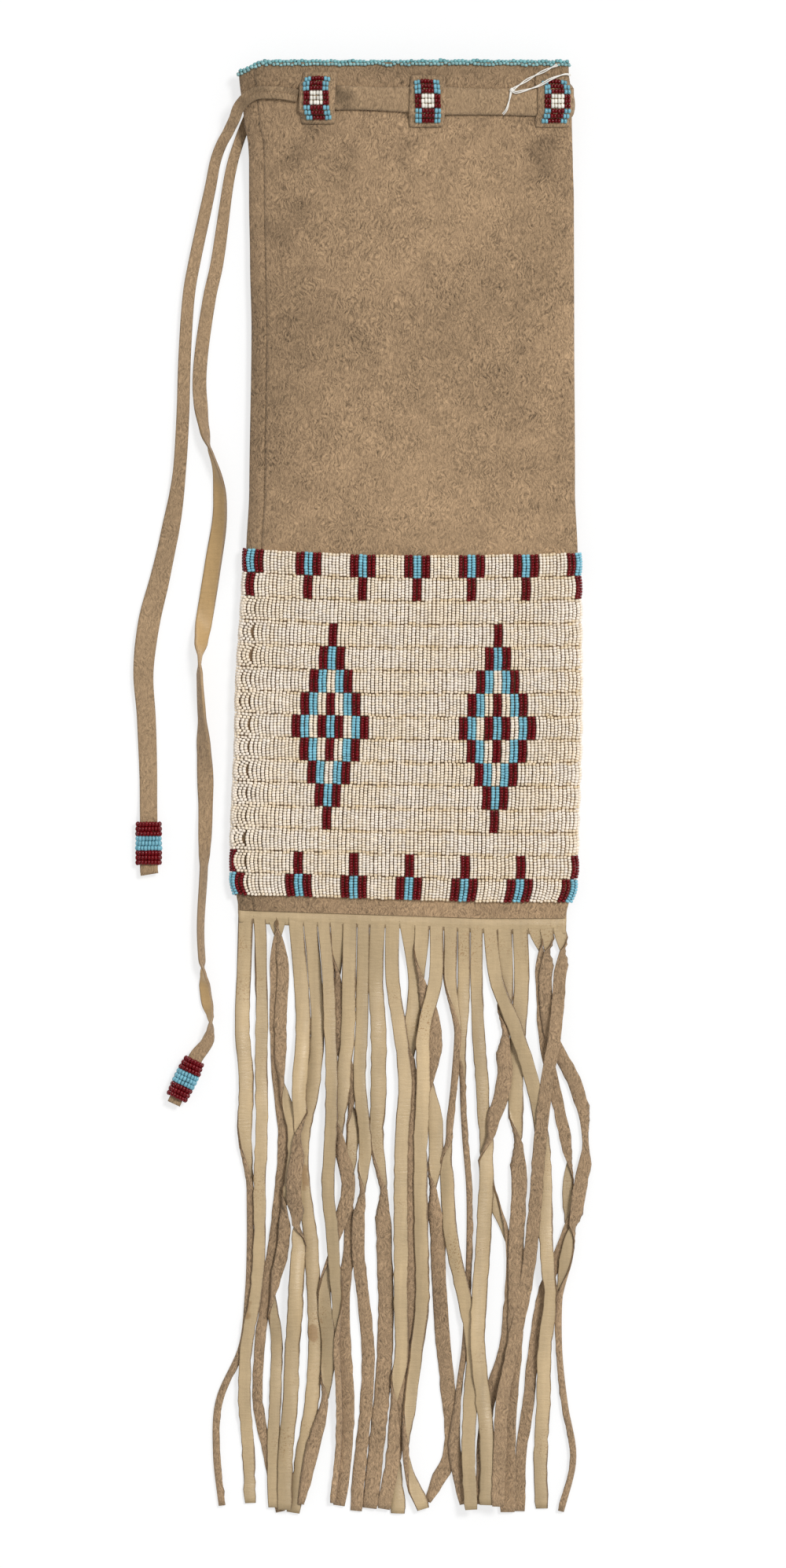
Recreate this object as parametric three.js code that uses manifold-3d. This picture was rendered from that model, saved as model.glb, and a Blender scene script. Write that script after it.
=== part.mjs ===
// A beaded pipe bag, lying flat on its back: hide tube, fifteen lanes of beads, loops, drawstring and fringe.
// Millimetres. +Z is up from the floor, +Y runs to the mouth, +X is the right hand side seen from above.
import * as THREE from 'three';
import { mergeGeometries, mergeVertices } from 'three/addons/utils/BufferGeometryUtils.js';
import Module from 'manifold-3d';

const wasm = await Module();
wasm.setup();

// The hide tube
const MOUTH_WIDTH = 176;
const MOUTH_TAPER = 1;
const NECK_WIDTH = 172;
const NECK_FLARE = 2;
const SLEEVE_WIDTH = 182;
const SLEEVE_TAPER = 5;
const FOOT_WIDTH = 175;
const NECK_LENGTH = 264;
const NECK_EASE_TOP = 40;
const NECK_EASE_LOW = 35;
const FOOT_LENGTH = 8;
const HIDE = 1.4;
const BAG_DEPTH = 10.4;
const NECK_DEPTH = 13;
const MOUTH_DEPTH = 11;
const MOUTH_DIP = 5;
const MOUTH_LEAN = 3.6;
const NECK_LEAN = 8.5;
const SLEEVE_LEAN = 6.2;
const FOOT_LEAN = 2.8;
const SEAM_INSET = 8;
const SEAM_STEP = 0.5;

// The beaded sleeve
const LANE_COUNT = 15;
const LANE_HEIGHT = 12.4;
const BEAD_RISE = 2.3;
const BEAD_COLUMN = 2.2;
const DIAMOND_SPACING = 89;
const DIAMOND_MIDDLE = 3;
const BORDER_PITCH = 30;
const BORDER_MIDDLE = 2.8;

// The loops and their beads
const TAB_WIDTH = 17;
const TAB_LENGTH = 27;
const TAB_TOP = 7.5;
const TAB_HIDE = 1.2;
const TAB_BEAD_RISE = 1.6;
const TAB_BEAD_WIDTH = 13.6;
const TAB_BEAD_LENGTH = 23.5;
const TAB_SHARES = { front: [-0.505, 0.14, 0.89], back: [-0.72, -0.16, 0.4] };

// The drawstring
const THONG_WIDTH = 12;
const THONG = 1.6;
const CORD_WIDTH = 8.4;
const CORD_FOLDED_WIDTH = 6.6;
const WRAP_ROW = 2.5;
const WRAP_ROWS = 3;
const THREAD = 0.9;

// The fringe
const FRINGE_WIDTH = 175;
const FRINGE_HIDE = 1.1;
const FRINGE_HEAD = 5;
const FRINGE_TUCK = 6;
const STRIP_LENGTH = 312;
const SLIT = 0.5;

// Clearances
const GAP = 0.3;
const LANE_GAP = 0.5;
const EDGE_BEAD = 1.7;

// Places down the bag from the mouth
const TAB_MIDDLE = TAB_TOP + TAB_LENGTH / 2;
const TAB_END = TAB_TOP + TAB_LENGTH;
const SLEEVE_LENGTH = LANE_COUNT * LANE_HEIGHT;
const SLEEVE_END = NECK_LENGTH + SLEEVE_LENGTH;
const FOOT = SLEEVE_END + FOOT_LENGTH;
const CAVITY_END = FOOT - FRINGE_TUCK - 3 * HIDE;

const CREAM = 0xe9dfcd;
const RED = 0x6e1420;
const BLUE = 0x79bfd0;
const HIDE_BROWN = 0xa58a68;
const BUCKSKIN = 0xcdb68d;
const THREAD_WHITE = 0xece6da;

const smooth = (t) => t * t * (3 - 2 * t);
const clamp01 = (t) => Math.min(1, Math.max(0, t));

// A value that eases from one named place to the next
function follow(knots, down) {
  let previous = knots[0];
  for (const knot of knots) {
    if (down <= knot[0]) {
      const span = knot[0] - previous[0];
      return span > 0 ? previous[1] + (knot[1] - previous[1]) * smooth((down - previous[0]) / span) : knot[1];
    }
    previous = knot;
  }
  return previous[1];
}

const TAB_STACK = 2 * GAP + THONG + TAB_HIDE + GAP + TAB_BEAD_RISE;
const SLEEVE_LIFT = LANE_GAP + BEAD_RISE;
const NECK_FLAT = [TAB_END + NECK_EASE_TOP, NECK_LENGTH - NECK_EASE_LOW];
const SLEEVE_MIDDLE = NECK_LENGTH + 7 * LANE_HEIGHT;

const WIDTHS = [[0, MOUTH_WIDTH], [TAB_END, MOUTH_WIDTH - MOUTH_TAPER], [NECK_FLAT[0], NECK_WIDTH],
  [NECK_FLAT[1], NECK_WIDTH + NECK_FLARE], [NECK_LENGTH, SLEEVE_WIDTH - SLEEVE_TAPER],
  [SLEEVE_MIDDLE, SLEEVE_WIDTH], [SLEEVE_END - LANE_HEIGHT, SLEEVE_WIDTH], [FOOT, FOOT_WIDTH]];
const MIDDLES = [[0, MOUTH_LEAN], [NECK_FLAT[0], NECK_LEAN], [NECK_LENGTH, NECK_LEAN],
  [SLEEVE_MIDDLE, SLEEVE_LEAN], [FOOT, FOOT_LEAN]];
const UNDERSIDES = [[0, TAB_STACK], [TAB_END, TAB_STACK], [NECK_FLAT[0], 0], [NECK_FLAT[1], 0],
  [NECK_LENGTH - LANE_HEIGHT, SLEEVE_LIFT], [SLEEVE_END, SLEEVE_LIFT], [FOOT, SLEEVE_LIFT / 2]];
const DEPTHS = [[0, MOUTH_DEPTH], [TAB_TOP, BAG_DEPTH], [TAB_END, BAG_DEPTH], [NECK_FLAT[0], NECK_DEPTH],
  [NECK_FLAT[1], NECK_DEPTH], [NECK_LENGTH, BAG_DEPTH], [SLEEVE_END - LANE_HEIGHT, BAG_DEPTH],
  [FOOT, FRINGE_HIDE + 2 * GAP + 2 * HIDE]];

// The flattened tube: a crowned front over a flat back, met by rounded folds
const MIDDLE_SHARE = 0.42;
const CROWN_POWER = 3;
const FOLD_SHARE = 0.14;
const crown = (u) => Math.sqrt(1 - Math.min(1, Math.abs(u)) ** CROWN_POWER);
const flatBack = (u) => Math.sqrt(1 - clamp01((Math.abs(u) - 1 + FOLD_SHARE) / FOLD_SHARE) ** 2);

function formAt(down) {
  const depth = follow(DEPTHS, down);
  return {
    half: follow(WIDTHS, down) / 2,
    middle: follow(MIDDLES, down),
    fold: follow(UNDERSIDES, down) + MIDDLE_SHARE * depth,
    rise: (1 - MIDDLE_SHARE) * depth,
    fall: MIDDLE_SHARE * depth,
  };
}

// The tube is straight between these places, and so is everything that lies on it
const STATIONS = [0, TAB_TOP, TAB_END, ...NECK_FLAT, NECK_LENGTH - LANE_HEIGHT, NECK_LENGTH, SLEEVE_MIDDLE,
  SLEEVE_END - LANE_HEIGHT, SLEEVE_END, FOOT];
const FORMS = STATIONS.map(formAt);

function section(down) {
  const next = STATIONS.findIndex((station) => down <= station);
  if (next === 0) return FORMS[0];
  if (next < 0) return FORMS[FORMS.length - 1];
  const [before, after] = [FORMS[next - 1], FORMS[next]];
  const share = (down - STATIONS[next - 1]) / (STATIONS[next] - STATIONS[next - 1]);
  const blend = (key) => before[key] * (1 - share) + after[key] * share;
  return Object.fromEntries(Object.keys(after).map((key) => [key, blend(key)]));
}

// How far the left corner of the mouth droops, fading away down the neck
const DROOP_SHARE = 0.14;

function droop(u, down) {
  const corner = smooth(clamp01((-u - 1 + DROOP_SHARE) / DROOP_SHARE));
  return MOUTH_DIP * corner * (1 - clamp01(down / TAB_END));
}

// A point of the tube's surface: u runs from the left fold (-1) to the right one (1)
function skin(u, side, down, out = 0) {
  const s = section(down);
  const height = side === 'front' ? (s.rise + out) * crown(u) : -(s.fall + out) * flatBack(u);
  return new THREE.Vector3(s.middle + (s.half + out) * u, -down - droop(u, down), s.fold + height);
}

const acrossOf = (x, down) => (x - section(down).middle) / section(down).half;

// Positions round the tube: close together at the folds, wide apart on the flats
const ROUND_STEPS = 12;
const SEAM_SNAP = 0.045;
const sineStep = (_, i) => Math.sin(Math.PI * (i / ROUND_STEPS - 0.5));
const FLAT_STEPS = Array.from({ length: ROUND_STEPS + 1 }, sineStep);
const frontAndBack = (steps) => [
  ...steps.map((u) => [u, 'front']),
  ...steps.slice(1, -1).reverse().map((u) => [u, 'back']),
];

// Skins a list of equal loops of points into a body. It is closed into a ring, or has an end cap and maybe a start
// cap; left gives the faces that stay open because another body joins there
function skinRings(rings, {
  closed = false, colours = null, startCap = true, left = () => false, turned = () => false,
} = {}) {
  const count = rings[0].length;
  const positions = [];
  const tints = [];
  const put = (a, b, c, tint) => {
    for (const p of [a, b, c]) {
      positions.push(p.x, p.y, p.z);
      if (tint) tints.push(tint.r, tint.g, tint.b);
    }
  };
  const last = closed ? rings.length : rings.length - 1;
  for (let r = 0; r < last; r += 1) {
    const here = rings[r];
    const next = rings[(r + 1) % rings.length];
    for (let i = 0; i < count; i += 1) {
      const j = (i + 1) % count;
      const tint = colours ? colours(r, i) : null;
      if (turned(i)) {
        put(here[i], here[j], next[i], tint);
        put(here[j], next[j], next[i], tint);
      } else if (!left(r, i)) {
        put(here[i], here[j], next[j], tint);
        put(here[i], next[j], next[i], tint);
      }
    }
  }
  if (!closed) {
    if (startCap) capRing(rings[0], true, put);
    capRing(rings[rings.length - 1], false, put);
  }
  const geometry = new THREE.BufferGeometry();
  geometry.setAttribute('position', new THREE.Float32BufferAttribute(positions, 3));
  if (colours) geometry.setAttribute('color', new THREE.Float32BufferAttribute(tints, 3));
  return geometry;
}

// Closes the end of a flat loop with rungs from its front to its back
function capRing(ring, start, put) {
  const face = (a, b, c) => (start ? put(ring[a], ring[c], ring[b]) : put(ring[a], ring[b], ring[c]));
  for (let low = 0, high = ring.length - 1; high - low > 1; low += 1, high -= 1) {
    face(low, low + 1, high);
    if (high - low > 2) face(low + 1, high - 1, high);
  }
}

function solidOf(geometry) {
  const bare = new THREE.BufferGeometry();
  bare.setAttribute('position', geometry.getAttribute('position').clone());
  if (geometry.index) bare.setIndex(geometry.index.clone());
  const merged = mergeVertices(bare, 1e-3);
  return new wasm.Manifold(new wasm.Mesh({
    numProp: 3,
    vertProperties: new Float32Array(merged.getAttribute('position').array),
    triVerts: new Uint32Array(merged.index.array),
  }));
}

function geometryOf(solid) {
  const mesh = solid.getMesh();
  const geometry = new THREE.BufferGeometry();
  geometry.setAttribute('position', new THREE.Float32BufferAttribute(mesh.vertProperties, 3));
  geometry.setIndex(new THREE.Uint32BufferAttribute(mesh.triVerts, 1));
  return geometry;
}

const bag = new THREE.Group();
const cords = new THREE.Group();

function add(group, name, geometry, colour, roughness) {
  const vertexColors = geometry.hasAttribute('color');
  const color = vertexColors ? 0xffffff : colour;
  const material = new THREE.MeshStandardMaterial({ color, roughness, vertexColors });
  geometry.computeVertexNormals();
  const mesh = new THREE.Mesh(geometry, material);
  mesh.name = name;
  group.add(mesh);
  return mesh;
}

// The hide tube, with its seam step on the front, its cavity and the slot in the foot for the fringe
function seamSteps(down) {
  const seam = -1 + SEAM_INSET / section(down).half;
  return FLAT_STEPS.map((u) => (Math.abs(u - seam) < SEAM_SNAP ? seam : u));
}

function hideRing(down, out, seamed) {
  const steps = seamSteps(down);
  const seam = -1 + SEAM_INSET / section(down).half;
  return frontAndBack(steps).map(([u, side]) => {
    const below = seamed && side === 'front' && u < seam - 1e-6;
    return skin(u, side, down, below ? out - SEAM_STEP : out);
  });
}

const SLOT_SPREAD = 1.03;

function slotRing(down) {
  const s = section(FOOT);
  const half = FRINGE_WIDTH / 2 + GAP;
  const middleHeight = s.fold + (s.rise - s.fall) / 2;
  return frontAndBack(FLAT_STEPS).map(([u, side]) => {
    const height = (FRINGE_HIDE / 2 + GAP) * (Math.abs(u) < 1 ? 1 : 0);
    const x = half * (Math.abs(u) < 1 ? u * SLOT_SPREAD : u);
    return new THREE.Vector3(s.middle + x, -down, middleHeight + (side === 'front' ? height : -height));
  });
}

function hideTube() {
  const rings = [slotRing(FOOT - FRINGE_TUCK - GAP), slotRing(FOOT)];
  for (const down of [...STATIONS].reverse()) rings.push(hideRing(down, 0, true));
  for (const down of STATIONS) {
    if (down < CAVITY_END) rings.push(hideRing(down, -HIDE, false));
  }
  rings.push(hideRing(CAVITY_END, -HIDE, false));
  return skinRings(rings);
}
add(bag, 'bag_body', hideTube(), HIDE_BROWN, 0.95);

// A band that runs right round the tube; profile is a loop of [down, out] points
function roundBand(profile, steps, colours) {
  const places = frontAndBack(steps);
  const rings = places.map(([u, side]) => profile.map(([down, out]) => skin(u, side, down, out)));
  const tint = colours && ((r) => colours(places[r], places[(r + 1) % places.length]));
  return skinRings(rings, { closed: true, colours: tint });
}

const EDGING_REACH = 3;
const EDGING_TOP = [EDGING_REACH / 2, GAP + EDGE_BEAD];
const EDGING = [[EDGING_REACH, GAP], [-GAP, GAP], [-GAP, -HIDE], [-EDGE_BEAD, 0], EDGING_TOP];
add(bag, 'mouth_edging', roundBand(EDGING, seamSteps(0)), BLUE, 0.35);

// The beadwork pattern: colour fields one lane high and two bead columns wide
const CELL = 2 * BEAD_COLUMN;
const DIAMOND = ['R', 'RBR', 'RBCBR', 'RBCRCBR', 'RBCRBRCBR', 'RBCRCBR', 'RBCBR', 'RBR', 'R'];
const TINTS = { R: new THREE.Color(RED), B: new THREE.Color(BLUE), C: new THREE.Color(CREAM) };

function lanePattern(lane) {
  const fromEdge = Math.min(lane, LANE_COUNT - 1 - lane);
  if (fromEdge < 2) {
    const reach = Math.floor((SLEEVE_WIDTH / 2 - CELL) / BORDER_PITCH);
    const centre = (_, i) => BORDER_MIDDLE + (i - reach) * BORDER_PITCH;
    return { cells: fromEdge === 0 ? 'RBR' : 'R', centres: Array.from({ length: 2 * reach + 1 }, centre) };
  }
  const rank = lane - Math.floor((LANE_COUNT - DIAMOND.length) / 2);
  if (rank < 0 || rank >= DIAMOND.length) return { cells: '', centres: [] };
  return { cells: DIAMOND[rank], centres: [-1, 1].map((k) => DIAMOND_MIDDLE + (k * DIAMOND_SPACING) / 2) };
}

const FOLD_STEPS = [0.6, 0.85, 0.95, 0.99, 1];
const FIELD_CLEARANCE = 0.06;

function laneSteps(pattern) {
  const half = SLEEVE_WIDTH / 2;
  const steps = [...FOLD_STEPS.map((u) => -u), 0, ...FOLD_STEPS];
  for (const centre of pattern.centres) {
    for (let i = 0; i <= pattern.cells.length; i += 1) {
      steps.push((centre + (i - pattern.cells.length / 2) * CELL) / half);
    }
  }
  const fields = steps.slice(2 * FOLD_STEPS.length + 1);
  const clear = steps.filter((u) => fields.includes(u) || Math.abs(u) > FOLD_STEPS[1]
    || fields.every((field) => Math.abs(field - u) > FIELD_CLEARANCE));
  return clear.filter((u) => Math.abs(u) <= 1).sort((a, b) => a - b);
}

function laneTint(pattern, u) {
  const x = (u * SLEEVE_WIDTH) / 2;
  for (const centre of pattern.centres) {
    const index = Math.floor((x - centre) / CELL + pattern.cells.length / 2);
    if (index >= 0 && index < pattern.cells.length) return TINTS[pattern.cells[index]];
  }
  return TINTS.C;
}

for (let lane = 0; lane < LANE_COUNT; lane += 1) {
  const top = NECK_LENGTH + lane * LANE_HEIGHT + GAP / 2;
  const end = top + LANE_HEIGHT - GAP;
  const shoulder = LANE_HEIGHT / 4;
  const hump = [[end, LANE_GAP], [top, LANE_GAP], [top + shoulder, LANE_GAP + BEAD_RISE],
    [end - shoulder, LANE_GAP + BEAD_RISE]];
  const pattern = lanePattern(lane);
  const tint = (here, next) => laneTint(pattern, (here[0] + next[0]) / 2);
  const name = `bead_lane_${String(lane + 1).padStart(2, '0')}`;
  add(bag, name, roundBand(hump, laneSteps(pattern), tint), CREAM, 0.4);
}

// A slab that lies on one side of the tube; low gives its underside's height over the hide
function drapedSlab(side, xs, downs, low, thickness, colours) {
  const bottoms = downs.map((down) => xs.map((x) => skin(acrossOf(x, down), side, down, low(down))));
  const tops = downs.map((down) => xs.map((x) => skin(acrossOf(x, down), side, down, low(down) + thickness)));
  const loops = downs.map((_, r) => [...tops[r], ...[...bottoms[r]].reverse()]);
  if (side === 'front') loops.reverse();
  const tint = colours && ((r, i) => {
    const row = side === 'front' ? downs.length - 2 - r : r;
    return colours(row, i < xs.length ? i : 2 * xs.length - 2 - i);
  });
  return skinRings(loops, { colours: tint });
}

const TAB_REACH = THONG_WIDTH / 2 + 2 * GAP;

function tabLow(down) {
  const away = Math.abs(down - TAB_MIDDLE) - TAB_REACH;
  const foot = (TAB_LENGTH - 2 * TAB_REACH) / 4;
  return GAP + (THONG + GAP) * (1 - smooth(clamp01(away / foot)));
}

const TAB_FIELDS = ['BRB', 'RCR', 'BRB'];
const BEAD_FIELD = TAB_BEAD_LENGTH / 3;
const beadLow = () => 2 * GAP + THONG + TAB_HIDE + GAP;
const tabPlace = (share) => MOUTH_LEAN + (share * MOUTH_WIDTH) / 2;

for (const side of ['front', 'back']) {
  TAB_SHARES[side].forEach((share, i) => {
    const field = TAB_BEAD_WIDTH / 4;
    const across = (half) => [-half, -field, 0, field, half].map((x) => tabPlace(share) + x);
    const downs = [-TAB_LENGTH / 2, -TAB_REACH, TAB_REACH, TAB_LENGTH / 2].map((d) => TAB_MIDDLE + d);
    const loop = drapedSlab(side, across(TAB_WIDTH / 2), downs, tabLow, TAB_HIDE);
    add(bag, `tab_loop_${side}_${i + 1}`, loop, HIDE_BROWN, 0.95);
    const rows = [-1.5, -0.5, 0.5, 1.5].map((row) => TAB_MIDDLE + row * BEAD_FIELD);
    const tint = (row, column) => TINTS[TAB_FIELDS[row][Math.floor((column + 1) / 2)]];
    const beads = drapedSlab(side, across(TAB_BEAD_WIDTH / 2), rows, beadLow, TAB_BEAD_RISE, tint);
    add(bag, `tab_beadwork_${side}_${i + 1}`, beads, RED, 0.4);
  });
}

// The held stretch of the drawstring: from the first front loop round the right fold to the last back loop
const TAB_MARGIN = TAB_WIDTH / 2 + 1;
const BAND_START = acrossOf(tabPlace(TAB_SHARES.front[0]) - TAB_MARGIN, TAB_MIDDLE);
const BAND_END = acrossOf(tabPlace(TAB_SHARES.back[0]) - TAB_MARGIN, TAB_MIDDLE);

function thongBand() {
  const round = [[BAND_START, 'front'], ...frontAndBack(FLAT_STEPS), [BAND_END, 'back']];
  const places = round.filter(([u, side]) => u >= (side === 'front' ? BAND_START : BAND_END));
  const rows = [TAB_MIDDLE - THONG_WIDTH / 2, TAB_MIDDLE + THONG_WIDTH / 2];
  const profile = [[rows[0], GAP + THONG], [rows[1], GAP + THONG], [rows[1], GAP], [rows[0], GAP]];
  return skinRings(places.map(([u, side]) => profile.map(([down, out]) => skin(u, side, down, out))));
}
add(bag, 'drawstring_band', thongBand(), HIDE_BROWN, 0.95);

// The two free ends. Each comes off the hide, [across, down, height over the fold], and then lies along the
// bag's left side, [distance out from the bag, down, lift off the floor]
const LEFT_EDGE = Math.min(MOUTH_LEAN - MOUTH_WIDTH / 2, NECK_LEAN - SLEEVE_WIDTH / 2 - SLEEVE_LIFT);
const CORD_START = 0.04;
const FRONT_START = [[BAND_START - CORD_START, 19.2, 6.5], [-0.75, 17.8, 6], [-0.83, 17.4, 5.5],
  [-0.9, 17.6, 4.9], [-0.965, 20, 4.2], [-1.02, 24.5, 2.8], [-1.06, 30, 0], [-1.09, 38, -5]];
const FRONT_RUN = [[10.5, 46, 1.2], [13.7, 64, 0], [22.7, 106, 0], [26.2, 127, 0], [28.2, 158, 0],
  [29.2, 190, 0], [31.2, 221, 0], [35.2, 248, 0], [41.2, 276, 0], [47.2, 300, 0], [50.2, 326, 0],
  [48.7, 350, 0], [47.6, 378, 0], [47.4, 399, 1], [47.3, 405, 2.4], [47.2, 430, 2.4], [46.8, 434.5, 2.3]];
const BACK_START = [[BAND_END - CORD_START, 21, -5.5], [-0.92, 23, -6.2], [-0.97, 28, -7.6], [-1, 36, -8.4]];
const BACK_RUN = [[0.6, 46, 0], [4.7, 64, 0], [10.6, 106, 0], [15, 127, 0], [19.4, 158, 0], [20, 179, 0],
  [16.9, 200, 0], [10.7, 221, 0], [9.4, 243, 0], [13.2, 270, 0], [18.7, 306, 0], [20, 327, 0], [18.2, 360, 0],
  [16.9, 389, 0], [17.9, 431, 0], [19.6, 466, 0], [17, 498, 0], [14.2, 512, 0.4], [15.6, 523, 1.6],
  [21.7, 531.5, 3.6], [25.3, 539, 3.6], [32.5, 554, 3.6], [33.9, 557, 3.6]];
const FLOOR_LIE = THONG / 2 + 0.2;
const FOLDED_SHARE = 0.3;

function thongSection(width) {
  const w = width / 2;
  const t = THONG / 2;
  const c = THONG / 4;
  return [[c - w, t], [w - c, t], [w, t - c], [w, c - t], [w - c, -t], [c - w, -t], [-w, c - t], [-w, t - c]];
}

// A flat thong whose width stays level, folded narrow where it leaves the bag
function flatThong(start, run) {
  const fold = section(TAB_MIDDLE).fold;
  const off = start.map(([u, down, over]) => skin(u, 'front', down).setZ(fold + over));
  const lie = run.map(([out, down, lift]) => new THREE.Vector3(LEFT_EDGE - out, -down, FLOOR_LIE + lift));
  const points = [...off, ...lie];
  const path = new THREE.CatmullRomCurve3(points, false, 'centripetal');
  const rings = points.map((point, i) => {
    const t = i / (points.length - 1);
    const along = path.getTangent(t);
    const across = new THREE.Vector3(along.y, -along.x, 0).normalize();
    const up = new THREE.Vector3().crossVectors(across, along);
    const width = CORD_FOLDED_WIDTH + (CORD_WIDTH - CORD_FOLDED_WIDTH) * smooth(clamp01(t / FOLDED_SHARE));
    const place = ([a, b]) => point.clone().addScaledVector(across, a).addScaledVector(up, b);
    return thongSection(width).map(place);
  });
  return skinRings(rings);
}
add(cords, 'drawstring_end_front', flatThong(FRONT_START, FRONT_RUN), HIDE_BROWN, 0.95);
add(cords, 'drawstring_end_back', flatThong(BACK_START, BACK_RUN), HIDE_BROWN, 0.95);

// The bead wraps: oval rings of beads, three rows to a colour
const WRAP_WALL = 1.75;
const WRAP_BULGE = 0.45;
const WRAP_SIDES = 8;

function wrapRing(halfWidth, halfHeight) {
  const row = (WRAP_ROWS * WRAP_ROW - GAP) / WRAP_ROWS;
  const bore = CORD_WIDTH / 2 + WRAP_WALL / 2;
  const outer = bore + WRAP_WALL + WRAP_BULGE;
  const profile = [[bore, 0]];
  for (let i = 0; i < WRAP_ROWS; i += 1) {
    profile.push([outer, (i + 0.5) * row]);
    if (i < WRAP_ROWS - 1) profile.push([bore + WRAP_WALL, (i + 1) * row]);
  }
  profile.push([bore, WRAP_ROWS * row], [bore, 0]);
  const ring = new THREE.LatheGeometry(profile.map(([r, h]) => new THREE.Vector2(r, h)), WRAP_SIDES);
  return ring.scale(halfWidth / outer, 1, halfHeight / outer);
}

const WRAPS = {
  front: { out: 47.3, down: 406.5, turn: 0, half: [7.6, 3.4] },
  back: { out: 22.6, down: 533.4, turn: -0.45, half: [7.2, 4.6] },
};
for (const [end, wrap] of Object.entries(WRAPS)) {
  const holder = new THREE.Group();
  holder.position.set(LEFT_EDGE - wrap.out, -wrap.down, wrap.half[1]);
  holder.rotation.z = wrap.turn;
  ['red_upper', 'blue', 'red_lower'].forEach((band, i) => {
    const colour = band === 'blue' ? BLUE : RED;
    const ring = add(holder, `wrap_${end}_${band}`, wrapRing(...wrap.half), colour, 0.35);
    ring.position.y = -(i + 1) * WRAP_ROWS * WRAP_ROW;
  });
  cords.add(holder);
}

// The tie thread, [out from the third loop, down, height over the hide], knotted on the band
const KNOT = [-22.5, 16.2, 3];
const THREAD_TAIL = [KNOT, [-19, 13, 2.4], [-11, 6.6, 1.5], [-4, 4.2, 2], [1, 2, 3.6]];
const THREAD_LOOP = [[-25.4, 30.6, 1.4], [-25.3, 28.4, 3.2], [-24.6, 22, 3], KNOT, [-17, 13.2, 2.6],
  [-10, 8.6, 2.5], [-5.5, 5.8, 1.9], [0, 5, 1.5], [6.5, 4.8, 1.5]];
const THREAD_SIDES = 8;
const THREAD_STEPS = 8;
const KNOT_SIZE = 1.6 * THREAD;

const threadPoint = ([out, down, over]) => (
  skin(acrossOf(tabPlace(TAB_SHARES.front[2]) + out, down), 'front', down, over));

function threadTube(points) {
  const extrudePath = new THREE.CatmullRomCurve3(points.map(threadPoint));
  const ring = Array.from({ length: THREAD_SIDES }, (_, i) => new THREE.Vector2(THREAD / 2, 0)
    .rotateAround(new THREE.Vector2(), (2 * Math.PI * i) / THREAD_SIDES));
  const options = { steps: THREAD_STEPS, bevelEnabled: false, extrudePath };
  return new THREE.ExtrudeGeometry(new THREE.Shape(ring), options);
}

function tieThread() {
  const knot = new THREE.SphereGeometry(KNOT_SIZE, 6, 4);
  knot.translate(...threadPoint([KNOT[0], KNOT[1], KNOT[2] + THREAD]));
  const tail = solidOf(threadTube(THREAD_TAIL)).add(solidOf(knot));
  return geometryOf(solidOf(threadTube(THREAD_LOOP)).add(tail));
}
add(cords, 'tie_thread', tieThread(), THREAD_WHITE, 0.8);

// The fringe strips, left to right: share of the width, layer in the heap, sideways drift at each level, and
// which face is up there (0 smooth grain, 2 on edge, 4 flesh)
const STRIPS = [
  [19, 0, [-1, -2, 0, 0, 2, 2, -1, -7, -17, -13, -12], '000002343344'],
  [16, 1, [2, 1, 1, 1, 0, 0, -2, -7, -8, -6, -5], '010000000000'],
  [13.4, 0, [2, 2, 3.5, 6.5, 4.5, 1, -4, -6.5, -7, -1, 5], '024444434444'],
  [15.2, 1, [0.5, -1, 1.5, 6, 4, 0.5, -3, -3, -4, -5, -4.5], '024201420000'],
  [18.8, 2, [2.5, 4, 2, 0.5, -1, 0.5, 0, -2, -3, -5.5, -6], '000024200000'],
  [17.8, 0, [2.5, 4, 1.5, -2.5, -2, 0.5, 2, 2.5, 0.5, -4.5, -9], '000011000000'],
  [16.1, 3, [2.5, 3.5, 4.5, 4, 2.5, 5, 6, 6.5, 8, 7.5, 4.5], '000000011100'],
  [16.4, 0, [2.5, 0.5, 8.5, 10, 8, 7.5, 4, 4.5, 6.5, 5, 1.5], '024312444444'],
  [18.3, 2, [-0.5, -1, -3.5, -4, -1, -6, -12.5, -11.5, -12, -19, -25], '000024243344'],
  [16, 1, [-0.5, -1, -2, 1, 0.5, -3, 0, 2.5, 1.5, -1.5, -4], '000002444444'],
  [19.8, 0, [-1, 0.5, 0.5, 0.5, 4, 3.5, 4.5, 4, 2, -1, -4], '000012444444'],
  [18.2, 1, [0, 4, 7, 5, 4.5, 4.5, 4.5, 5, 2.5, 1.5, -3.5], '000000000233'],
  [19, 0, [4.5, 3, 3.5, 2.5, 2.5, 3, 3.5, 1, -3, -4, -5], '001333333420'],
  [19, 0, [1.5, 6.5, 6.5, 7.5, 8, 8.5, 9.5, 11.5, 14.5, 15.5, 5], '024202444442'],
  [18, 1, [-0.5, -7, -7, -8.5, -8.5, -8, -7.5, -9.5, -13, -15, -7], '000000001120'],
  [17.6, 1, [1, 3.5, 2, -0.5, -1.5, 1, 7.5, 12, 10.5, 9.5, 11], '002320000000'],
  [16.1, 0, [0, -1, -1, 1, 3, 3.5, 2.5, 1, -2.5, -3.5, 2], '002321233444'],
  [16.3, 0, [0, 1, 3, 3.5, 5.5, 15.5, 17, 15.5, 7, 2, 1.5], '000011234433'],
  [18, 3, [2.5, 12.5, 22.5, 28, 29.5, 30, 31, 29, 28.5, 27, 27.5], '000000010000'],
  [19, 2, [0.8, 1, -0.5, -7, -10, -11.5, -13.5, -14.5, -11.5, -9, -10], '002420000000'],
  [20, 1, [1, -1, -2.5, 0.5, -0.5, -2, -2, -3, -5.5, -6.5, -6.5], '000024444444'],
  [15, 0, [4, 5.5, 11, 16, 17, 14, 4.5, 0, -3, -7, -7.5], '024431344444'],
  [17, 1, [-0.5, 2.5, 16, 20, 17.5, 10.5, 6, 6, 9, 13.5, 7], '024434122233'],
  [16.6, 4, [0, -2.5, -7, -10, -12.5, -15, -19, -25, -30.5, -32, -33], '024444444444'],
];
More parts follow.
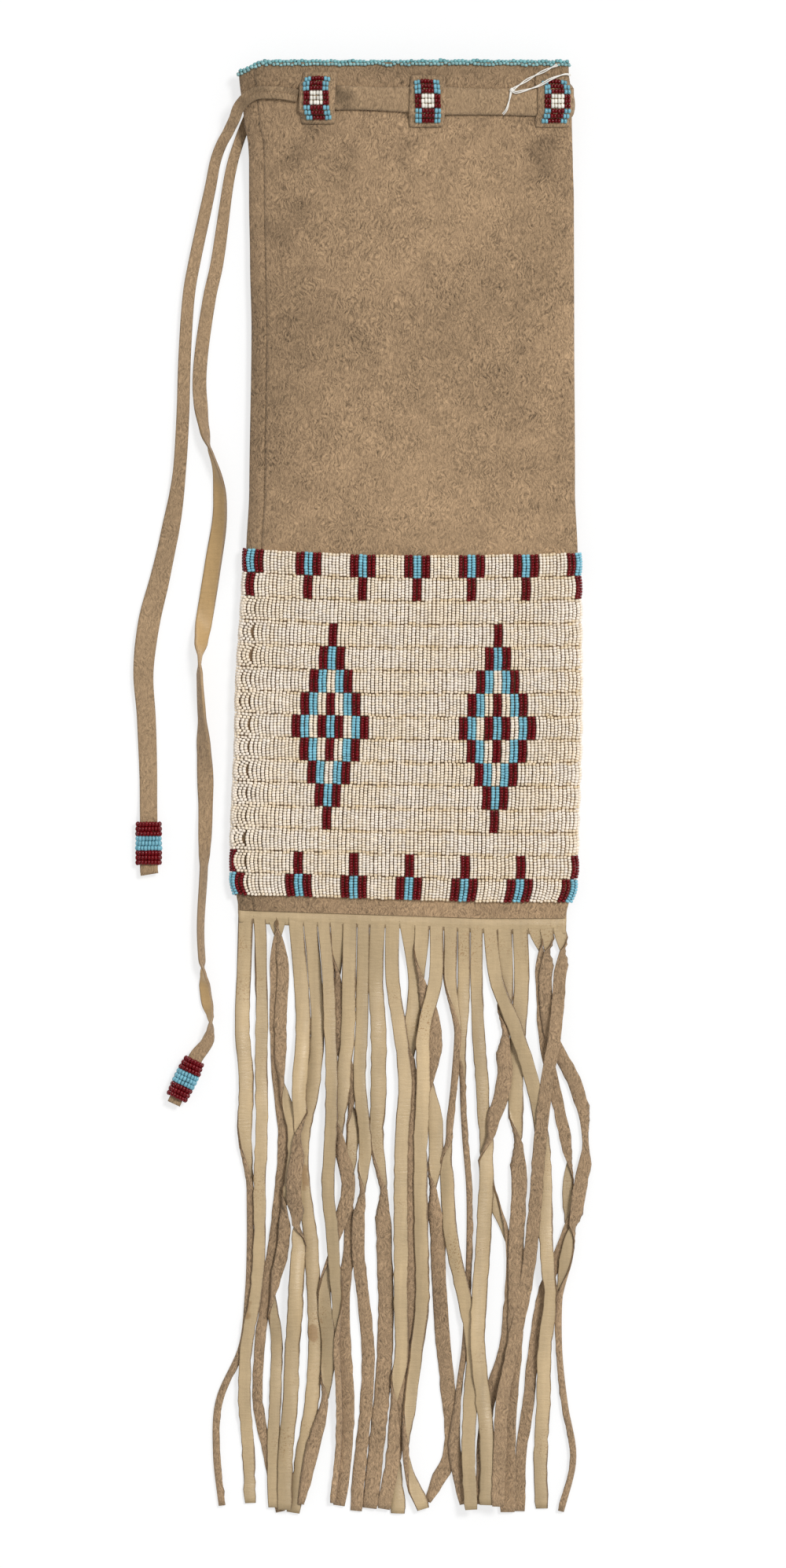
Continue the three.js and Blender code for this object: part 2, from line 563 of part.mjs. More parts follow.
// The strips' middle lines, angles and layers, before they are laid on each other
function stripLines() {
  const shares = STRIPS.reduce((sum, strip) => sum + strip[0], 0);
  let left = section(FOOT).middle - FRINGE_WIDTH / 2;
  return STRIPS.map(([share, layer, drift, faces]) => {
    const cut = (FRINGE_WIDTH * share) / shares;
    const root = left + cut / 2;
    left += cut;
    return [0, ...drift].map((sideways, level) => {
      const t = level / drift.length;
      const angle = (Number(faces[level]) * Math.PI) / 4;
      const width = cut - SLIT;
      const [up, flat] = [Math.abs(Math.sin(angle)), Math.abs(Math.cos(angle))];
      const tall = (up * width + flat * FRINGE_HIDE) / 2;
      const wide = (flat * width + up * FRINGE_HIDE) / 2;
      return { x: root + sideways, t, angle, width, tall, wide, layer };
    });
  });
}

// Whether two strips lie over each other or cross near a level
function meet(line, other, level) {
  const aside = [level - 1, level, level + 1].filter((k) => k > 0 && k < line.length).map((k) => {
    const apart = line[k].x - other[k].x;
    return Math.sign(apart) * Math.max(0, Math.abs(apart) - line[k].wide - other[k].wide);
  });
  return Math.min(...aside) <= 0 && Math.max(...aside) >= 0;
}

// Lays each strip on the floor or over the strips that it meets, with a gentle slope on both sides
const LIFT_SLOPE = 0.12;

function layStrips(lines) {
  const stride = STRIP_LENGTH / (lines[0].length - 1);
  const order = lines.map((_, i) => i).sort((a, b) => lines[a][0].layer - lines[b][0].layer);
  order.forEach((i, rank) => {
    const needed = lines[i].map((_, level) => order.slice(0, rank).reduce((most, j) => {
      const there = lines[j][level];
      const over = level > 0 && meet(lines[i], lines[j], level) ? there.lift + 2 * there.tall + GAP : 0;
      return Math.max(most, over);
    }, 0));
    lines[i].forEach((here, level) => {
      here.lift = Math.max(...needed.map((lift, k) => lift - LIFT_SLOPE * stride * Math.abs(k - level)), 0);
    });
  });
  return lines;
}

const CORNERS = [[-1, -1], [1, -1], [1, 1], [-1, 1]];

// One strip: it grows out of the head, with a ring of corners at each level, and both of its faces
// bend along the same diagonals so that a turning strip keeps its thickness
function stripSurface(line, headHeight) {
  const rings = line.map((here, level) => {
    const before = line[Math.max(0, level - 1)];
    const after = line[Math.min(line.length - 1, level + 1)];
    const yaw = level === 0 ? 0 : Math.atan2(after.x - before.x, (after.t - before.t) * STRIP_LENGTH);
    const height = level === 0 ? headHeight : here.lift + here.tall;
    const down = FOOT + FRINGE_HEAD + here.t * STRIP_LENGTH;
    return CORNERS.map(([a, b]) => {
      const across = (a * here.width) / 2;
      const thick = (b * FRINGE_HIDE) / 2;
      const u = across * Math.cos(here.angle) - thick * Math.sin(here.angle);
      const v = across * Math.sin(here.angle) + thick * Math.cos(here.angle);
      return new THREE.Vector3(here.x + u * Math.cos(yaw), -down + u * Math.sin(yaw), height + v);
    });
  });
  return skinRings(rings, { startCap: false, turned: (i) => i === 2 });
}

// The head's end is open where a strip grows out of it
function fringePiece() {
  const s = section(FOOT);
  const height = s.fold + (s.rise - s.fall) / 2;
  const lines = layStrips(stripLines());
  const loop = [[-FRINGE_TUCK, -1], [-FRINGE_TUCK, 1], [FRINGE_HEAD, 1], [FRINGE_HEAD, -1]];
  const rings = lines.flatMap((line) => [-1, 1].map((a) => loop.map(([past, b]) => new THREE.Vector3(
    line[0].x + (a * line[0].width) / 2, -FOOT - past, height + (b * FRINGE_HIDE) / 2))));
  const head = skinRings(rings, { left: (r, i) => r % 2 === 0 && i === 2 });
  return mergeGeometries([...lines.map((line) => stripSurface(line, height)), head]);
}
add(bag, 'fringe', fringePiece(), BUCKSKIN, 0.8);

// The origin: on the floor under the middle of the bag and its fringe
const whole = new THREE.Group();
whole.add(bag, cords);
const box = new THREE.Box3().setFromObject(bag, true);
const middle = box.getCenter(new THREE.Vector3());
whole.position.set(-middle.x, -middle.y, -box.min.z);

export default whole;
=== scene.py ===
"""The looks of a beaded pipe bag: hide, lanes of seed beads, loops, drawstring, tie thread and fringe."""
import math

import bmesh
import bpy
import numpy as np
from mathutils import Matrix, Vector


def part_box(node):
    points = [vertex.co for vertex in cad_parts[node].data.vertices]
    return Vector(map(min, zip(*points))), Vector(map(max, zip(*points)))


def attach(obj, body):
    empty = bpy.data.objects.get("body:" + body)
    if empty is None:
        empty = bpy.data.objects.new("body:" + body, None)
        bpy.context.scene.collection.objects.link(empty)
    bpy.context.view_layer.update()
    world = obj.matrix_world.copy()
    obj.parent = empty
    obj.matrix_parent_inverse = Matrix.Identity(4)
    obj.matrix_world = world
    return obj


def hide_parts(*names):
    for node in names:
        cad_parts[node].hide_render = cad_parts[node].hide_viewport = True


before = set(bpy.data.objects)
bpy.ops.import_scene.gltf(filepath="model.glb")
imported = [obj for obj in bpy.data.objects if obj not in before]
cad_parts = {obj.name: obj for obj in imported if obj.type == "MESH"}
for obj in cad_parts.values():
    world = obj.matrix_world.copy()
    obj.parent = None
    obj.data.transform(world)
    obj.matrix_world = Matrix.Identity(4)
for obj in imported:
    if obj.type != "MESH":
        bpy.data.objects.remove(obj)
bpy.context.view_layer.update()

bl_info = {
    "name": "Beaded pipe bag",
    "version": (1, 0, 0),
    "blender": (4, 5, 0),
    "location": "3D View > Sidebar > Pipe Bag",
    "description": "Builds the hide, beads, drawstring and fringe of a pipe bag over its solids",
    "category": "Add Mesh",
}

# Lengths are millimetres from the middle of the mouth: x to the right, down from the mouth, z up
MM = 0.001
SEED = 7

# The form of the flattened hide tube, down from the mouth
MOUTH_WIDTH = 176.0
NECK_LENGTH = 264.0
FOOT = 458.0
TAB_END = 34.5
TAB_MIDDLE = 22.0
HIDE_TOP = 1.3
MOUTH_LEAN = 3.6
WIDTHS = [(0, 176), (34.5, 175), (43, 173.1), (52, 172.9), (74.5, 173.5), (106, 173.1), (143, 172.4),
          (229, 174), (264, 177), (347, 181.4), (437.6, 182), (458, 175)]
MIDDLES = [(0, 3.6), (34.5, 5.9), (43, 7.05), (52, 7.45), (74.5, 7.75), (106, 8.05), (143, 8.5), (264, 8),
           (347, 6.2), (431, 3.8), (458, 2.8)]
UNDERSIDES = [(0, 5.3), (34.5, 5.3), (74.5, 0), (229, 0), (251.6, 2.8), (450, 2.8), (458, 1.4)]
DEPTHS = [(0, 11), (7.5, 10.4), (34.5, 10.4), (74.5, 13), (229, 13), (264, 10.4), (420, 10.4), (437.6, 8.2),
          (450, 6.6), (458, 5.0)]
MIDDLE_SHARE = 0.42
FOLD_SHARE = 0.14
DROOP_SHARE = 0.14
MOUTH_DIP = 5.0
FOOT_RISE = 4.4
RISE_START = 330.0
RISE_EDGE = 0.5
SEAM_INSET = 8.0


def ease(t):
    t = np.clip(t, 0.0, 1.0)
    return t * t * (3 - 2 * t)


def follow(knots, down):
    """A value that eases from one place to the next."""
    places = np.array([k[0] for k in knots], float)
    values = np.array([k[1] for k in knots], float)
    down = np.asarray(down, float)
    i = np.clip(np.searchsorted(places, down), 1, len(places) - 1)
    share = ease((down - places[i - 1]) / (places[i] - places[i - 1]))
    return values[i - 1] + (values[i] - values[i - 1]) * share


def shift():
    """How far the frame's axes lie from the middle of the mouth, from the mouth beads' box."""
    low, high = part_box("mouth_edging")
    return (low[0] + high[0]) / 2 / MM - MOUTH_LEAN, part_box("bag_body")[1][1] / MM


SHIFT_X, SHIFT_Y = shift()


def place(x, down, z):
    """Points in metres in the frame, one a row."""
    x, down, z = np.broadcast_arrays(*(np.asarray(v, float) for v in (x, down, z)))
    return np.stack([x + SHIFT_X, SHIFT_Y - down, z], axis=-1) * MM


def foot_rise(u):
    """How far the foot's line climbs to the left fold."""
    return FOOT_RISE * np.clip((RISE_EDGE - u) / (1 + RISE_EDGE), 0, 1)


def skin(psi, down, out=0.0):
    """Points round the tube. psi is -pi/2 at the left fold, 0 on the front, pi/2 at the right."""
    u = np.sin(psi)
    edge = np.minimum(np.abs(u), 1.0)
    depth = follow(DEPTHS, down)
    half = follow(WIDTHS, down) / 2
    fold = follow(UNDERSIDES, down) + MIDDLE_SHARE * depth
    crown = ((1 - MIDDLE_SHARE) * depth + out) * np.sqrt(1 - edge ** 3)
    back = np.clip((edge - 1 + FOLD_SHARE) / FOLD_SHARE, 0, 1)
    belly = -(MIDDLE_SHARE * depth + out) * np.sqrt(1 - back ** 2)
    z = fold + np.where(np.cos(psi) >= 0, crown, belly)
    dip = MOUTH_DIP * ease((-u - 1 + DROOP_SHARE) / DROOP_SHARE) * (1 - np.clip(down / TAB_END, 0, 1))
    climb = foot_rise(u) * np.clip((down - RISE_START) / (FOOT - RISE_START), 0, 1)
    x = follow(MIDDLES, down) + (half + out) * u
    return np.stack(np.broadcast_arrays(x, down + dip - climb, z), axis=-1)


def psi_of(x, down, back=False):
    """The place round the tube under a point seen from above."""
    u = (x - follow(MIDDLES, down)) / (follow(WIDTHS, down) / 2)
    psi = np.arcsin(np.clip(u, -1, 1))
    return np.pi - psi if back else psi


def srgb(r, g, b):
    """A colour as an eye reads it, 0 to 255, as linear light."""
    def one(v):
        v /= 255
        return v / 12.92 if v <= 0.04045 else ((v + 0.055) / 1.055) ** 2.4
    return one(r), one(g), one(b)


def colour(name, text, value):
    return bpy.props.FloatVectorProperty(name=name, description=text, subtype="COLOR", size=3,
                                         min=0.0, max=1.0, default=srgb(*value))


def length(name, text, value):
    return bpy.props.FloatProperty(name=name, description=text, unit="LENGTH", precision=5,
                                   min=0.0001, default=value * MM)


class BagColours(bpy.types.PropertyGroup):
    hide: colour("Hide", "Brushed brown hide of the tube", (160, 133, 103))
    thong: colour("Thong", "Brushed side of the drawstring", (160, 134, 104))
    grain: colour("Grain", "Smooth side of the fringe", (191, 167, 129))
    tan: colour("Tan", "Smooth side of the drawstring", (188, 155, 107))
    flesh: colour("Flesh", "Rough side of the fringe", (160, 134, 105))
    cut: colour("Cut edge", "Rough cut edges of the fringe", (122, 98, 72))
    stain: colour("Stain", "Freckles and stains of the fringe", (150, 112, 70))
    cream: colour("Cream beads", "Ground colour of the lanes", (252, 240, 225))
    red: colour("Red beads", "Clear dark red beads", (111, 8, 18))
    blue: colour("Blue beads", "Turquoise beads", (130, 194, 212))
    edging: colour("Edging beads", "Greenish beads of the mouth", (116, 170, 173))
    white: colour("White beads", "White beads of the loops", (240, 236, 224))
    cotton: colour("Cotton", "Tie thread", (240, 236, 228))
    sinew: colour("Sinew", "Thread of the seam", (126, 102, 76))
    floor: colour("Floor", "White surface under the bag", (255, 255, 255))


class BagSizes(bpy.types.PropertyGroup):
    hide: length("Hide", "Thickness of the hide", 1.4)
    thong: length("Thong", "Thickness of the drawstring", 1.5)
    strip: length("Strip", "Thickness of the fringe", 1.0)
    lane: length("Lane", "Height of one lane of beads", 12.36)
    thread: length("Thread", "Thickness of the tie thread", 1.1)


def colours():
    return bpy.context.scene.pipe_bag_colours


def size(name):
    """One of the user's sizes, in millimetres."""
    return getattr(bpy.context.scene.pipe_bag_sizes, name) / MM


# Meshes

# One bead: how square it is, and how far its rim and the bottom of its hole stand from its middle
BEAD_SQUARENESS = 0.8
BEAD_RIM = 0.92
BEAD_HOLE = 0.7
NEARLY_NONE = 0.01


def rows(*values):
    """Columns of numbers, or single numbers, side by side."""
    return np.stack(np.broadcast_arrays(*values), axis=-1)


def unit(vectors):
    """The directions of vectors, one a row."""
    return vectors / np.linalg.norm(vectors, axis=1, keepdims=True)


def run_of(points):
    """How far along a line of points each of them is."""
    steps = np.linalg.norm(np.diff(points, axis=0), axis=1)
    return np.concatenate([[0], np.cumsum(steps)])


def link(name, data):
    """A new object in the scene."""
    obj = bpy.data.objects.new(name, data)
    bpy.context.scene.collection.objects.link(obj)
    return obj


def new_sheet():
    """An empty mesh whose UV layer tells how far a place is from the cut edges."""
    bm = bmesh.new()
    bm.loops.layers.uv.new("cut")
    return bm


def add_grid(bm, across, along, shape, uncut=False):
    """Adds a grid whose two coordinates, each from 0 to 1, are mapped to points (x, down, z)."""
    uv_layer = bm.loops.layers.uv["cut"]
    made = bmesh.ops.create_grid(bm, x_segments=across, y_segments=along, size=0.5)["verts"]
    flat = np.array([v.co[:2] for v in made]) + 0.5
    for vert, spot in zip(made, flat):
        for loop in vert.link_loops:
            loop[uv_layer].uv = (0.5, 1.0) if uncut else spot
    points = shape(flat[:, 0], flat[:, 1])
    for vert, point in zip(made, place(*points.T)):
        vert.co = point


def finish_mesh(name, bm, material):
    for face in bm.faces:
        face.smooth = True
    mesh = bpy.data.meshes.new(name)
    bm.to_mesh(mesh)
    bm.free()
    mesh.materials.append(material)
    return link(name, mesh)


def mapped_grid(name, across, along, shape, material):
    bm = new_sheet()
    add_grid(bm, across, along, shape)
    return finish_mesh(name, bm, material)


def thicken(obj, thickness, offset=-1.0, other=None, rim=None):
    """Gives a sheet its thickness, and its far side and cut edges their own materials if they have them."""
    solid = obj.modifiers.new("Thickness", "SOLIDIFY")
    solid.thickness = thickness * MM
    solid.offset = offset
    solid.use_even_offset = False
    if other:
        obj.data.materials.append(other)
        solid.material_offset = 1
        solid.material_offset_rim = 1
    if rim:
        obj.data.materials.append(rim)
        solid.material_offset_rim = len(obj.data.materials) - 1


def bead_shape(sides, rings):
    """One bead of unit radius and half length along z, with dimpled ends and its faces in a fixed order."""
    bm = bmesh.new()
    bmesh.ops.create_uvsphere(bm, u_segments=sides, v_segments=rings, radius=1.0)
    bmesh.ops.triangulate(bm, faces=bm.faces)
    verts = np.array([v.co for v in bm.verts])
    bm.verts.index_update()
    corners = [[v.index for v in f.verts] for f in bm.faces]
    bm.free()
    turned = [c[c.index(min(c)):] + c[:c.index(min(c))] for c in corners]
    faces = np.array(sorted(turned))
    radius = np.hypot(verts[:, 0], verts[:, 1])
    poles = radius < NEARLY_NONE
    wide = np.where(poles, 0.0, radius ** BEAD_SQUARENESS)
    grow = np.divide(wide, radius, out=np.zeros_like(wide), where=~poles)
    level = np.where(np.abs(verts[:, 2]) < NEARLY_NONE, 0.0, BEAD_RIM)
    high = np.where(poles, BEAD_HOLE, level) * np.sign(verts[:, 2])
    return rows(verts[:, 0] * grow, verts[:, 1] * grow, high), faces


def scatter(name, shape, centres, along, up, sizes, tints, material):
    """Copies one bead to many places. sizes holds half width, half height and half length."""
    verts, faces = shape
    along = unit(along)
    side = unit(np.cross(along, up))
    up = np.cross(side, along)
    axes = np.stack([side * sizes[:, :1], up * sizes[:, 1:2], along * sizes[:, 2:3]], axis=1)
    points = (centres[:, None, :] + np.einsum("vk,nkc->nvc", verts, axes)).reshape(-1, 3)
    corners = (faces[None] + (np.arange(len(centres)) * len(verts))[:, None, None]).reshape(-1)
    mesh = bpy.data.meshes.new(name)
    mesh.vertices.add(len(points))
    mesh.vertices.foreach_set("co", place(*points.T).ravel())
    mesh.loops.add(len(corners))
    mesh.loops.foreach_set("vertex_index", corners)
    mesh.polygons.add(len(corners) // 3)
    mesh.polygons.foreach_set("loop_start", np.arange(0, len(corners), 3))
    mesh.polygons.foreach_set("use_smooth", np.ones(len(corners) // 3, bool))
    tint = mesh.attributes.new("tint", "FLOAT_COLOR", "POINT")
    rgba = np.ones((len(centres), len(verts), 4))
    rgba[:, :, :3] = tints[:, None, :]
    tint.data.foreach_set("color", rgba.ravel())
    mesh.update(calc_edges=True)
    mesh.validate()
    mesh.materials.append(material)
    return link(name, mesh)


def smooth_path(points, count):
    """Evenly spaced points on a curve through the given ones; extra columns are eased along with them."""
    points = np.asarray(points, float)
    padded = np.vstack([2 * points[0] - points[1], points, 2 * points[-1] - points[-2]])
    t = np.linspace(0, 1, 12, endpoint=False)[:, None]
    fine = []
    for a, b, c, d in zip(padded[:-3], padded[1:-2], padded[2:-1], padded[3:]):
        fine.append(0.5 * (2 * b + (c - a) * t + (2 * a - 5 * b + 4 * c - d) * t ** 2
                           + (3 * b - a - 3 * c + d) * t ** 3))
    fine = np.vstack(fine + [points[-1:]])
    run = run_of(fine[:, :3])
    even = np.linspace(0, run[-1], count)
    return rows(*(np.interp(even, run, column) for column in fine.T))


def travel(path):
    """The directions along a path."""
    return unit(np.gradient(path[:, :3], axis=0))


def dress(obj, slot, *nodes):
    """Rides on the bag and stands for solids, which it hides; the slot is not used."""
    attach(obj, "root")
    if nodes:
        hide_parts(*nodes)
    return obj


# Materials

class Nodes:
    """Adds nodes to a tree, with sockets set or linked by name."""

    def __init__(self, tree):
        self.tree = tree
        tree.nodes.clear()

    def add(self, kind, settings=None, **inputs):
        node = self.tree.nodes.new(kind if kind.startswith("NodeGroup") else f"ShaderNode{kind}")
        for key, value in (settings or {}).items():
            setattr(node, key, value)
        for key, value in inputs.items():
            socket = node.inputs[int(key[1:])] if key[0] == "_" else node.inputs[key.replace("_", " ")]
            if isinstance(value, bpy.types.NodeSocket):
                self.tree.links.new(value, socket)
            else:
                socket.default_value = value
        return node

    def math(self, operation, a, b):
        return self.add("Math", {"operation": operation}, _0=a, _1=b).outputs[0]

    def plus(self, a, b):
        return self.math("ADD", a, b)

    def times(self, a, b):
        return self.math("MULTIPLY", a, b)

    def blend(self, a, share, b, other_share):
        return self.plus(self.times(a, share), self.times(b, other_share))

    def vector(self, operation, a, b):
        return self.add("VectorMath", {"operation": operation}, _0=a, _1=b).outputs[0]

    def scaled(self, vector, scale):
        return self.add("VectorMath", {"operation": "SCALE"}, _0=vector, Scale=scale).outputs[0]

    def mixed(self, share, a, b):
        return self.add("Mix", {"data_type": "RGBA"}, _0=share, _6=a, _7=b).outputs[2]

    def place(self):
        return self.add("TexCoord").outputs["Object"]

    def mapped(self, vector, scale, turn=0.0):
        return self.add("Mapping", Vector=vector, Rotation=(0, 0, turn), Scale=scale).outputs[0]

    def noise(self, vector, scale, detail=2.0, roughness=0.5):
        node = self.add("TexNoise", Vector=vector, Scale=scale, Detail=detail, Roughness=roughness)
        return node.outputs["Fac"]

    def ranged(self, value, low, high, to_low, to_high):
        return self.add("MapRange", _0=value, _1=low, _2=high, _3=to_low, _4=to_high).outputs[0]

    def bump(self, strength, distance, height):
        return self.add("Bump", Strength=strength, Distance=distance, Height=height).outputs[0]

    def oval(self, at, x, y, wide, tall, scale, rough):
        """Distance from the middle of an oval spot, 1 at its rim, with a ragged outline."""
        from_middle = self.vector("SUBTRACT", at, (x * MM, y * MM, 0))
        spot = self.vector("MULTIPLY", from_middle, (1 / (wide * MM), 1 / (tall * MM), 0))
        away = self.add("VectorMath", {"operation": "LENGTH"}, _0=spot).outputs["Value"]
        return self.plus(away, self.ranged(self.noise(at, scale), *NOISE_MIDST, -rough, rough))

    def surface(self, **inputs):
        shader = self.add("BsdfPrincipled", **inputs)
        self.add("OutputMaterial", Surface=shader.outputs[0])


# Noise lies mostly between these levels. Scales are in noise cells to a metre, the darker places by the mouth
# and the left fold and the painted shade of the margin strip in metres, and spots are (x, y, half width, half
# height) in millimetres, smudges and the thong's darker patch with their depth.
NOISE_MIDST = (0.3, 0.7)
NAP_SWIRL = 0.007
NAP_STROKES = (1350, 480, 800)
NAP_TURNS = (1.2, -0.6)
MOUTH_DARKENING = (0.366, 0.381)
FOLD_DARKENING = (-0.035, -0.072)
# Painted shade: the rounded margin strip by the left fold is darkened across these places to the level below.
MARGIN_SHADE = (-0.0735, -0.0795)
MARGIN_SHADED_LEVEL = 0.86
SMUDGES = ((-45.0, 340.0, 16, 20, 0.3), (76.8, 338.0, 9, 10, 0.24), (2.0, 336.0, 7, 14, 0.2),
           (23.5, 334.0, 6, 22, 0.12), (-56, 300, 16, 14, 0.16))
# A darker patch on the thong, left of the first loop
THONG_DARK_PATCH = ((-66.0, 363.0, 40, 24, 0.5),)
STAINS = ((-81.2, -277.5, 2.4, 7.5), (-50.4, -207.0, 2.2, 9.5), (-46.6, -291.5, 3.4, 5.0))

# Where the cut edges of the fringe begin and where each strip has its own light, as shares of its length
CUT_START = 0.966
CUT_FADE = 0.006
EACH_START = 0.8
EACH_LIGHT = (-0.17, 0.15)


def nap_group():
    """Brushed nap: patches of short strokes that lie in two directions, over broad stains."""
    known = bpy.data.node_groups.get("nap")
    if known:
        return known
    tree = bpy.data.node_groups.new("nap", "ShaderNodeTree")
    sockets = (("Colour", "INPUT", "Color"), ("Nap", "INPUT", "Float"), ("Stain", "INPUT", "Float"),
               ("Colour", "OUTPUT", "Color"), ("Normal", "OUTPUT", "Vector"))
    for name, way, kind in sockets:
        tree.interface.new_socket(name, in_out=way, socket_type=f"NodeSocket{kind}")
    n = Nodes(tree)
    given = n.add("NodeGroupInput").outputs
    at = n.place()
    swirl = n.add("TexNoise", Vector=at, Scale=140.0, Detail=1.0).outputs["Color"]
    swirl = n.scaled(n.vector("SUBTRACT", swirl, (0.5, 0.5, 0.5)), NAP_SWIRL)
    curled = n.vector("ADD", at, swirl)
    lies = [n.noise(n.mapped(curled, NAP_STROKES, turn), 1.0, 2.5, 0.6) for turn in NAP_TURNS]
    patch = n.ranged(n.noise(at, 34.0, 1.0), 0.42, 0.58, 0.0, 1.0)
    lie = n.add("Mix", {"data_type": "FLOAT"}, _0=patch, _2=lies[0], _3=lies[1]).outputs[0]
    rough = n.blend(lie, 0.75, n.noise(at, 2600.0, 1.0), 0.25)
    nap = n.times(n.math("SUBTRACT", rough, 0.5), given["Nap"])
    broad = n.blend(n.noise(at, 9.0, 4.0), 0.7, n.noise(at, 85.0), 0.3)
    stain = n.times(n.math("SUBTRACT", broad, 0.5), given["Stain"])
    light = n.plus(n.plus(nap, stain), 1.0)
    n.add("NodeGroupOutput", Colour=n.scaled(given["Colour"], light), Normal=n.bump(0.6, 0.0009, rough))
    return tree


def once(build):
    """A material is built at its first use and found by its name from then on."""
    def find(name, *values, **options):
        known = bpy.data.materials.get(name)
        if not known:
            known = bpy.data.materials.new(name)
            known.use_nodes = True
            build(Nodes(known.node_tree), *values, **options)
        return known
    return find


@once
def suede(n, base, nap=3.7, stain=1.6, darkening=0.0, dark_spots=()):
    """Brushed hide, darker towards the mouth and the left fold, with painted shade on the margin strip by the
    fold, and dark spots.
    """
    group = n.add("Group", {"node_tree": nap_group()}, Colour=(*base, 1), Nap=nap, Stain=stain)
    spot = n.place()
    at = n.add("SeparateXYZ", Vector=spot).outputs
    # Darker towards the mouth and towards the left fold
    mouth = n.ranged(at[1], *MOUTH_DARKENING, 1.0, 1 - 1.5 * darkening)
    dark = n.times(mouth, n.ranged(at[0], *FOLD_DARKENING, 1.0, 1 - darkening))
    # Painted shade on the rounded margin strip by the left fold
    if darkening:
        dark = n.times(dark, n.ranged(at[0], *MARGIN_SHADE, 1.0, MARGIN_SHADED_LEVEL))
    # Dark spots: smudges on the hide and a darker patch on the thong
    for *oval, depth in dark_spots:
        dark = n.times(dark, n.ranged(n.oval(spot, *oval, 55.0, 0.9), 0.1, 1.0, 1 - depth, 1.0))
    n.surface(Base_Color=n.scaled(group.outputs[0], dark), Normal=group.outputs[1], Roughness=0.95,
              Specular_IOR_Level=0.15, Sheen_Weight=0.12, Sheen_Roughness=0.6)


@once
def leather(n, base, edge, stain):
    """Smooth grain side: creases across, freckles and a few stains, and darker cut edges below the head,
    their dark band partly the edges' own colour and partly painted shade, wider along one edge.
    """
    at = n.place()
    crease = n.noise(n.mapped(at, (150, 900, 300), 0.25), 1.0, 3.0, 0.6)
    pores = n.noise(at, 1500.0)
    broad = n.blend(n.noise(at, 26.0, 3.0), 0.42, n.noise(n.mapped(at, (520, 60, 300)), 1.0), 0.2)
    light = n.ranged(n.plus(broad, n.blend(pores, 0.16, crease, 0.22)), *NOISE_MIDST, 0.78, 1.2)

    freckled = n.ranged(n.noise(at, 30.0), 0.56, 0.72, 0.0, 0.75)
    freckle = n.times(freckled, n.ranged(n.noise(at, 1100.0, 1.0), 0.55, 0.68, 0.0, 1.0))
    for oval in STAINS:
        spot = n.ranged(n.oval(at, *oval, 160.0, 0.5), 0.6, 1.0, 0.6, 0.0)
        freckle = n.math("MAXIMUM", freckle, spot)

    cut = n.add("UVMap", {"uv_map": "cut"}).outputs[0]
    across, along, _ = n.add("SeparateXYZ", Vector=cut).outputs
    # The dark band along the cut edges is partly their own colour and partly painted shade, reaching further
    # in from one edge than from the other.
    inside = n.math("MINIMUM", n.times(across, 1.8), n.math("SUBTRACT", 1.0, across))
    ragged = n.plus(inside, n.ranged(n.noise(at, 900.0), 0.0, 1.0, -0.05, 0.05))
    ragged = n.plus(ragged, n.ranged(n.noise(at, 42.0, 1.0), *NOISE_MIDST, -0.05, 0.06))
    below = n.ranged(along, CUT_START - CUT_FADE, CUT_START, 1.0, 0.0)
    cut_edge_and_shade = n.times(n.ranged(ragged, 0.01, 0.11, 1.0, 0.0), below)

    apart = n.ranged(along, EACH_START, CUT_START, 1.0, 0.0)
    own = n.ranged(n.noise(n.mapped(at, (85, 6, 60)), 1.0, 1.0), *NOISE_MIDST, *EACH_LIGHT)
    light = n.times(light, n.plus(n.times(apart, own), 1.0))
    tone = n.mixed(cut_edge_and_shade, n.mixed(freckle, (*base, 1), (*stain, 1)), (*edge, 1))
    n.surface(Base_Color=n.scaled(tone, light), Normal=n.bump(0.5, 0.0006, n.blend(crease, 0.7, pores, 0.3)),
              Roughness=n.ranged(n.noise(at, 70.0), 0.35, 0.65, 0.34, 0.6), Specular_IOR_Level=0.45)


@once
def glass(n):
    """Glass beads: each takes its own tint."""
    tint = n.add("Attribute", {"attribute_name": "tint"}).outputs["Color"]
    n.surface(Base_Color=tint, Roughness=0.22, IOR=1.5)


@once
def fibre(n, base, roughness):
    """Thread: one colour with faint fibres."""
    light = n.ranged(n.noise(n.place(), 2400.0), *NOISE_MIDST, 0.8, 1.1)
    n.surface(Base_Color=n.scaled((*base,), light), Roughness=roughness, Specular_IOR_Level=0.2)


def hide_suede():
    return suede("hide_suede", colours().hide, darkening=0.13, dark_spots=SMUDGES)


def thong_suede():
    return suede("thong_suede", colours().thong, nap=2.6, stain=0.8, dark_spots=THONG_DARK_PATCH)


def flesh_suede():
    return suede("flesh_suede", colours().flesh, nap=3.2, stain=1.0)


def cut_suede():
    return suede("cut_suede", colours().cut, nap=3.0, stain=0.8)


def thong_leather():
    return leather("thong_leather", colours().tan, colours().thong, colours().stain)


def grain_leather():
    return leather("grain_leather", colours().grain, colours().cut, colours().stain)


def bead_glass():
    return glass("bead_glass")


def cotton():
    return fibre("cotton", colours().cotton, 0.9)


# The stage and the cords

PICTURE_MIDDLE = (-2.1, 386.2)
PICTURE_HEIGHT = 837.9
CAMERA_HEIGHT = 8000.0
SENSOR_HEIGHT = 24.0
FLOOR_SIZE = 6.0
FLOOR_SINK = 0.00005
FLOOR_GLOW = 0.7
SKY = 0.56
MIRRORED_SKY = 0.15
SUN_POWER = 1.85
SUN_WIDTH = 16
SUN_TURN = (-21, 27, 0)
WHITE = (1.0, 1.0, 1.0, 1.0)


@once
def paper(n):
    """A white floor that glows for the camera alone."""
    shader = n.add("BsdfPrincipled", Base_Color=(*colours().floor, 1), Roughness=0.9,
                   Specular_IOR_Level=0.0)
    seen = n.add("LightPath").outputs["Is Camera Ray"]
    glow = n.add("Emission", Color=WHITE, Strength=1.0)
    share = n.times(seen, FLOOR_GLOW)
    mixed = n.add("MixShader", _0=share, _1=shader.outputs[0], _2=glow.outputs[0])
    n.add("OutputMaterial", Surface=mixed.outputs[0])


